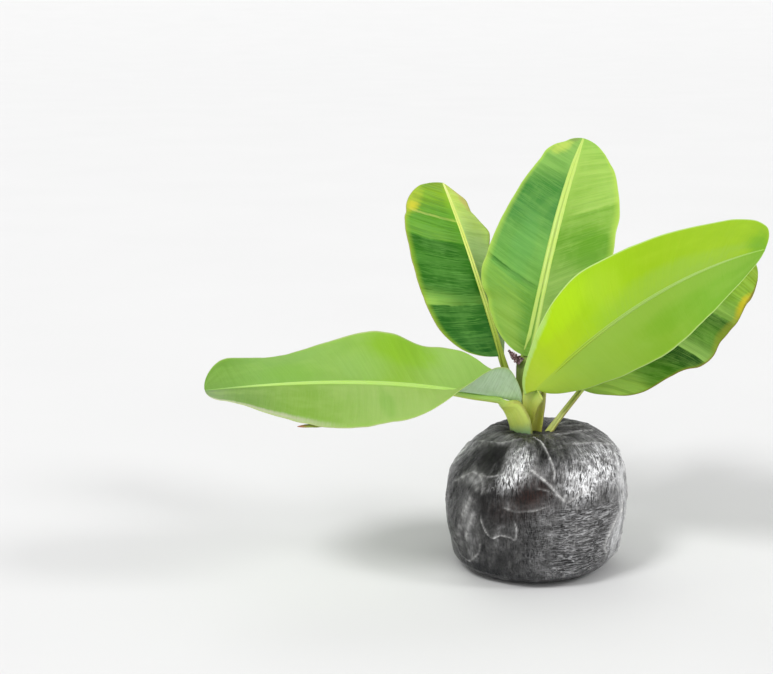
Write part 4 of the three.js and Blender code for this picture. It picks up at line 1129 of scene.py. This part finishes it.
# The looks of each leaf: how high its pleats and ripples stand, and its colours. left, right and under are
# ramps along the rib, in the left and right half and on the back.
LOOKS = {
    "left": dict(
        pleat=0.35, ripple=0.5, seed=11,
        left=[
            (0.0, 146, 180, 88), (0.3, 150, 184, 84), (0.5, 148, 182, 90), (0.72, 128, 168, 62),
            (0.9, 112, 150, 64), (1.0, 120, 146, 94)],
        right=[
            (0.0, 146, 186, 86), (0.22, 148, 186, 90), (0.4, 140, 182, 58), (0.55, 136, 178, 74),
            (0.8, 124, 172, 66), (1.0, 108, 152, 52)],
        dark=((120, 162, 58), (120, 168, 52)), light=((164, 192, 108), (158, 196, 96)),
        streaks=(0.1, 0.08),
        patches=[
            ((138, 186, 34), 0.36, 0.78, 0.13, 0.34, 0.7),
            ((150, 190, 100), 0.5, 0.4, 0.1, 0.36, 0.35),
            ((124, 178, 44), 0.72, 0.35, 0.1, 0.3, 0.4),
            ((118, 168, 56), 0.47, -0.5, 0.025, 0.6, 0.4),
            ((196, 196, 168), 0.84, -1.0, 0.24, 0.15, 0.9),
        ],
        margin=((152, 198, 74), 0.9, 0.35), tip=(190, 204, 136), shine=0.36,
        # the back is pale by its own bloom, and paler still near the base by painted light on the shaded fold
        under=[(0.0, 224, 250, 208), (0.14, 220, 248, 210), (0.32, 186, 216, 160), (1.0, 150, 188, 118)],
        # painted light: the sheath and neck are lighter than their own colour where the blades above shade
        # them
        rib=dict(
            foot=(166, 212, 160), sheath=(236, 255, 128), neck=(230, 250, 118), rib=(186, 226, 116),
            groove=(186, 224, 108), under=(210, 234, 116), brown=(190, 190, 96), at_tip=(142, 184, 100)),
    ),
    "right": dict(
        pleat=0.16, ripple=0.3, seed=23,
        # the left half's lime is partly the young leaf's own colour and partly painted light shining through
        # it
        left=[
            (0.0, 184, 208, 66), (0.16, 178, 210, 26), (0.36, 162, 208, 4), (0.6, 152, 192, 10),
            (0.85, 150, 190, 2), (1.0, 140, 182, 4)],
        right=[
            (0.0, 174, 204, 68), (0.25, 152, 190, 66), (0.55, 138, 182, 48), (0.8, 130, 182, 50),
            (1.0, 120, 172, 36)],
        dark=((146, 188, 18), (128, 176, 44)), light=((172, 208, 44), (154, 194, 78)),
        streaks=(0.1, 0.1),
        patches=[
            ((150, 188, 70), 0.55, 0.1, 0.5, 0.32, 0.5),
            ((150, 190, 70), 0.62, -0.22, 0.36, 0.24, 0.5),
            # painted light shining through the blade near its base
            ((180, 224, 4), 0.24, -0.8, 0.14, 0.36, 0.8),
            ((184, 222, 126), 0.05, -0.97, 0.17, 0.15, 0.95),
            ((178, 212, 52), 0.4, -0.55, 0.08, 0.4, 0.35),
            ((118, 174, 34), 0.62, 0.5, 0.16, 0.25, 0.4),
            ((104, 166, 8), 0.985, -0.3, 0.07, 0.5, 0.7),
        ],
        margin=((172, 214, 54), 0.94, 0.4), tip=(206, 234, 150), shine=0.42,
        under=[(0.0, 164, 200, 112), (0.15, 176, 216, 130), (0.5, 166, 208, 112), (1.0, 160, 200, 110)],
        rib=dict(
            foot=(206, 204, 104), sheath=(206, 210, 96), neck=(216, 232, 128), rib=(166, 204, 102),
            groove=(162, 198, 88), under=(160, 194, 88), brown=(166, 170, 80), low=(170, 202, 50),
            at_tip=(150, 198, 66)),
    ),
    "back": dict(
        pleat=0.7, ripple=0.7, seed=37,
        left=[
            (0.0, 120, 164, 50), (0.22, 102, 158, 48), (0.45, 118, 178, 78), (0.64, 72, 140, 60),
            (0.73, 66, 134, 52), (0.86, 140, 188, 88), (1.0, 158, 196, 94)],
        right=[
            (0.0, 154, 184, 90), (0.3, 142, 182, 84), (0.5, 104, 160, 34), (0.65, 148, 190, 72),
            (0.85, 166, 204, 90), (1.0, 160, 204, 90)],
        dark=((64, 132, 40), (92, 152, 36)), light=((132, 186, 88), (172, 208, 104)),
        streaks=(0.34, 0.24),
        patches=[
            ((206, 222, 96), 0.935, -0.72, 0.045, 0.4, 0.65),
            ((128, 142, 84), 0.985, -0.7, 0.012, 0.4, 0.5),
            ((164, 200, 84), 0.14, -0.75, 0.16, 0.5, 0.6),
            ((98, 158, 26), 0.46, 0.7, 0.1, 0.4, 0.6),
            ((104, 172, 84), 0.45, -0.45, 0.18, 0.22, 0.4),
        ],
        # painted light and shade of broad pleats, lit on one side of a vein and shaded on the other
        pleat_shade_bands=[
            (77.5, -1, (0.0, 0.3), (112, 172, 68), 14, 0.5, (40, 106, 14), 5.5, 0.95),
            (71, -1, (0.0, 0.5), (60, 128, 30), 5, 0.3, (158, 200, 78), 30, 0.45),
            (140, 1, (0.05, 0.5), (182, 216, 108), 26, 0.5, (92, 152, 28), 24, 0.5),
        ],
        margin=((190, 222, 88), 0.86, 0.6), tip=(196, 228, 110), shine=0.4,
        under=[(0.0, 128, 172, 86), (0.3, 132, 178, 94), (1.0, 140, 184, 100)],
        rib=dict(
            foot=(94, 104, 34), sheath=(96, 106, 36), neck=(88, 106, 32), rib=(204, 232, 116),
            groove=(150, 180, 84), under=(150, 190, 96), brown=(84, 64, 30)),
    ),
    "back_left": dict(
        pleat=0.8, ripple=0.7, seed=41,
        left=[
            # painted shade darkens the left half, most towards its base
            (0.0, 28, 92, 26), (0.28, 36, 98, 14), (0.48, 44, 110, 8), (0.6, 66, 134, 20),
            (0.74, 104, 166, 34), (0.9, 146, 188, 40), (1.0, 150, 178, 44)],
        right=[
            # the pale right half is painted light shining through the blade
            (0.0, 80, 124, 36), (0.4, 132, 176, 74), (0.6, 188, 226, 130), (0.8, 206, 236, 104),
            (1.0, 206, 224, 84)],
        dark=((34, 96, 14), (116, 160, 64)), light=((108, 166, 74), (196, 226, 140)),
        streaks=(0.42, 0.3),
        patches=[
            ((206, 210, 66), 0.86, -0.98, 0.11, 0.32, 0.5),
            ((232, 214, 58), 0.815, -0.9, 0.035, 0.2, 0.65),
            ((204, 176, 104), 0.94, 0.9, 0.08, 0.4, 0.7),
            # painted shade low on the right half
            ((62, 108, 32), 0.44, 0.85, 0.09, 0.6, 0.8),
        ],
        # painted light and shade of broad pleats, lit on one side of a vein and shaded on the other
        pleat_shade_bands=[
            (151, -1, (0.0, 0.6, 0.4, 1.0), (222, 234, 118), 4.6, 1.0, (80, 142, 24), 16, 0.35),
            (126, -1, (0.0, 0.4, 0.4, 1.0), (140, 190, 72), 22, 0.6, (28, 90, 8), 22, 0.75),
            (65, -1, (0.25, 0.95, 0.15, 1.0), (170, 212, 96), 17, 0.9, (32, 92, 14), 22, 0.6),
        ],
        margin=((160, 192, 52), 0.88, 0.6), tip=(170, 170, 80), shine=0.42,
        under=[(0.0, 96, 144, 68), (0.4, 106, 152, 78), (1.0, 126, 168, 86)],
        rib=dict(
            foot=(150, 164, 66), sheath=(156, 168, 66), neck=(122, 140, 40), rib=(226, 240, 124),
            groove=(160, 184, 66), under=(140, 176, 74), brown=(132, 112, 50), low=(166, 186, 68),
            at_tip=(240, 246, 160)),
    ),
    "back_right": dict(
        pleat=0.75, ripple=0.8, seed=53,
        left=[(0.0, 96, 152, 58), (0.5, 84, 144, 52), (1.0, 110, 160, 62)],
        right=[
            (0.0, 184, 216, 92), (0.17, 172, 210, 84), (0.26, 84, 142, 22), (0.5, 62, 124, 4),
            (0.7, 116, 172, 56), (0.9, 148, 186, 50), (1.0, 156, 182, 50)],
        dark=((52, 118, 34), (40, 98, 4)), light=((122, 178, 86), (158, 204, 96)),
        streaks=(0.4, 0.32),
        patches=[
            ((216, 196, 40), 0.85, 0.94, 0.075, 0.22, 0.85),
            ((182, 182, 60), 0.7, 0.97, 0.12, 0.14, 0.6),
            ((128, 90, 46), 0.92, 1.0, 0.09, 0.1, 0.8),
        ],
        # painted light and shade of broad pleats, lit on one side of a vein and shaded on the other
        pleat_shade_bands=[
            (90, 1, (0.0, 0.3), (180, 222, 112), 26, 0.95, (14, 70, 0), 40, 0.95),
            (143, 1, (0.0, 0.3), (172, 212, 96), 22, 0.85, (26, 88, 2), 24, 0.95),
        ],
        margin=((150, 178, 52), 0.93, 0.6), tip=(150, 124, 56), shine=0.5,
        under=[(0.0, 104, 152, 76), (0.5, 112, 158, 80), (1.0, 128, 166, 86)],
        rib=dict(
            foot=(210, 218, 116), sheath=(216, 224, 134), neck=(200, 210, 112), rib=(176, 208, 98),
            groove=(160, 170, 80), under=(196, 212, 116), brown=(148, 126, 60)),
    ),
}
BACK_STREAK = 0.8  # tone of the streaks on the backs
OLD_SHEATH = dict(
    foot=(196, 204, 92), sheath=(206, 212, 94), neck=(216, 216, 130), rib=(216, 216, 130),
    groove=(150, 146, 60), under=(176, 178, 88), brown=(112, 84, 44))
# pale, middle and dark colours, and that of the strip's tip
OLIVE = (170, 186, 84), (150, 164, 66), (126, 130, 56), (176, 120, 84)
WITHERED = (206, 184, 190), (124, 92, 96), (52, 36, 34)


def grow():
    """Every blade with its stalk."""
    for name, leaf in LEAVES.items():
        spec, stalk_spec = LOOKS[name], STALKS[name]
        seed = spec["seed"]
        leaf["seed"], leaf["pleat"], leaf["ripple"] = seed, spec["pleat"], spec["ripple"]
        leaf["pleats"] = [(grain(seed + n, SPAN, spacing), size) for n, spacing, size in PLEATS]
        leaf["edge"] = {key: grain(seed + n, SPAN, step) for key, n, step in EDGES}
        leaf["points"] = rib_of(leaf)
        leaf["rib_half"] = tuple(np.array([p for p in stalk_spec["half"] if p[0] >= 0], float).T)
        rim = spec["margin"][0]
        dark, light = ([tint(rgb) for rgb in spec[key]] for key in ("dark", "light"))
        upper = blade_face(
            "leaf_" + name + "_upper", seed, spec["left"], spec["right"], dark, light, spec["streaks"],
            spec["shine"], spec["margin"], spec["tip"], spec["patches"], spec.get("pleat_shade_bands", ()))
        back = spec["under"]
        pale = tint(back[-1][1:])
        deep = tint(back[0][1:], BACK_STREAK * TONE)
        lower = blade_face(
            "leaf_" + name + "_under", seed, back, back, (deep, deep), (pale, pale), (0.24, 0.24), 0.46,
            (rim, 0.9, 0.4), spec["tip"])
        piece = blade("blade_" + name, leaf, [upper, lower])
        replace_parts(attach(piece, "root"), "leaf_" + name)
        skin = stalk_skin("stalk_" + name, float(seed), spec["rib"])
        piece = stalk("stalk_" + name, leaf, stalk_spec, skin)
        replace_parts(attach(piece, "root"), "petiole_" + name)


grow()
for piece in old_sheaths(stalk_skin("old_sheath", 5.0, OLD_SHEATH)):
    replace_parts(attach(piece, "root"), "pseudostem")
olive = dry_skin("torn_strip", *OLIVE)
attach(torn_strip(LEAVES["left"], olive), "root")
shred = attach(sheath_shred(dry_skin("dry_sheath", *WITHERED)), "root")
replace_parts(shred, "sheath_shred")
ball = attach(root_ball(bag_skin()), "root")
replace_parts(ball, "root_ball")


# Studio: a pale floor, soft light and a camera at the photograph's angle

# flat for ten metres round the plant, then rising a little, so that no horizon shows: radius and height in m
FLOOR_RINGS = [
    (0.02, 0.0), (2, 0.0), (6, 0.0), (10, 0.0), (14, 0.12), (18, 0.5), (24, 1.4), (32, 3.0), (42, 5.4)]
FLOOR_SECTORS = 96
FLOOR_TONES = (0.66, 0.66, 0.66, 1), (0.69, 0.69, 0.69, 1)
SKY_STRENGTH = 0.62
# name, direction it comes from in degrees from +X and from level, strength, and how wide it is in degrees
LIGHTS = [
    ("key", -129, 49, 1.6, 16), ("side", -14, 38, 0.9, 16), ("fill", -92, 14, 0.55, 70),
    ("back", 115, 50, 0.6, 40)]

PHOTO_WIDTH, PHOTO_HEIGHT = 773, 674
FOOT_PIXEL = (535.0, 562.0)  # where the middle of the root ball's foot falls in the photograph
MM_PER_PIXEL = 0.8333  # at the root ball
CAMERA_RISE = 14  # degrees above level
CAMERA_DISTANCE = 1300
CAMERA_CENTRE = (-35, 0, 150)  # the point that the camera stands back from
AIM_ROUNDS = 60
SENSOR = 36


def lay_floor():
    look = Look("floor", Specular_IOR_Level=0.1)
    dust = look.grit(3.0, 3.0, 0.5)
    look.paint(look.mix(dust, *FLOOR_TONES), dust * 0.1 + 0.75)
    turns = np.arange(FLOOR_SECTORS) * 2 * math.pi / FLOOR_SECTORS
    points = [(r * math.cos(a), r * math.sin(a), z) for r, z in FLOOR_RINGS for a in turns]
    quads = grid_faces(len(FLOOR_RINGS), FLOOR_SECTORS, closed=True, turned=True)
    mesh = bpy.data.meshes.new("floor")
    mesh.from_pydata(points, [], quads.tolist() + [list(range(FLOOR_SECTORS))])
    mesh.shade_smooth()
    mesh.materials.append(look.material)
    floor = link(bpy.data.objects.new("floor", mesh))


def light_studio():
    world = bpy.data.worlds.new("studio")
    bpy.context.scene.world = world
    world.use_nodes = True
    sky = world.node_tree.nodes["Background"]
    sky.inputs["Color"].default_value = (1, 1, 1, 1)
    sky.inputs["Strength"].default_value = SKY_STRENGTH
    for name, azimuth, height, strength, spread in LIGHTS:
        data = bpy.data.lights.new(name, "SUN")
        data.energy, data.angle = strength, math.radians(spread)
        lamp = link(bpy.data.objects.new(name, data))
        lamp.rotation_euler = Vector(direction(azimuth, height)).to_track_quat("Z", "Y").to_euler()


def photo_camera():
    """Camera at the photograph's angle, aimed so that the foot of the root ball falls where it does there."""
    focal = CAMERA_DISTANCE / MM_PER_PIXEL
    place = np.array(CAMERA_CENTRE) + CAMERA_DISTANCE * direction(-90, CAMERA_RISE)
    yaw, pitch = 0.0, -math.radians(CAMERA_RISE)
    for _ in range(AIM_ROUNDS):
        ahead = direction(90 - math.degrees(yaw), math.degrees(pitch))
        right = np.array([math.cos(yaw), -math.sin(yaw), 0])
        up = np.cross(right, ahead)
        far = -place @ ahead
        yaw += (PHOTO_WIDTH / 2 + focal * (-place @ right) / far - FOOT_PIXEL[0]) / focal
        pitch -= (PHOTO_HEIGHT / 2 - focal * (-place @ up) / far - FOOT_PIXEL[1]) / focal
    data = bpy.data.cameras.new("camera")
    data.sensor_width = SENSOR
    data.lens = focal * SENSOR / PHOTO_WIDTH
    data.clip_start, data.clip_end = 0.05, 100
    camera = link(bpy.data.objects.new("camera", data))
    turn = Matrix((right, up, -ahead)).transposed()
    camera.matrix_world = Matrix.Translation(Vector(place * MM)) @ turn.to_4x4()
    bpy.context.scene.camera = camera


lay_floor()
light_studio()
photo_camera()
bpy.context.scene.view_settings.view_transform = "Standard"

bpy.context.view_layer.update()
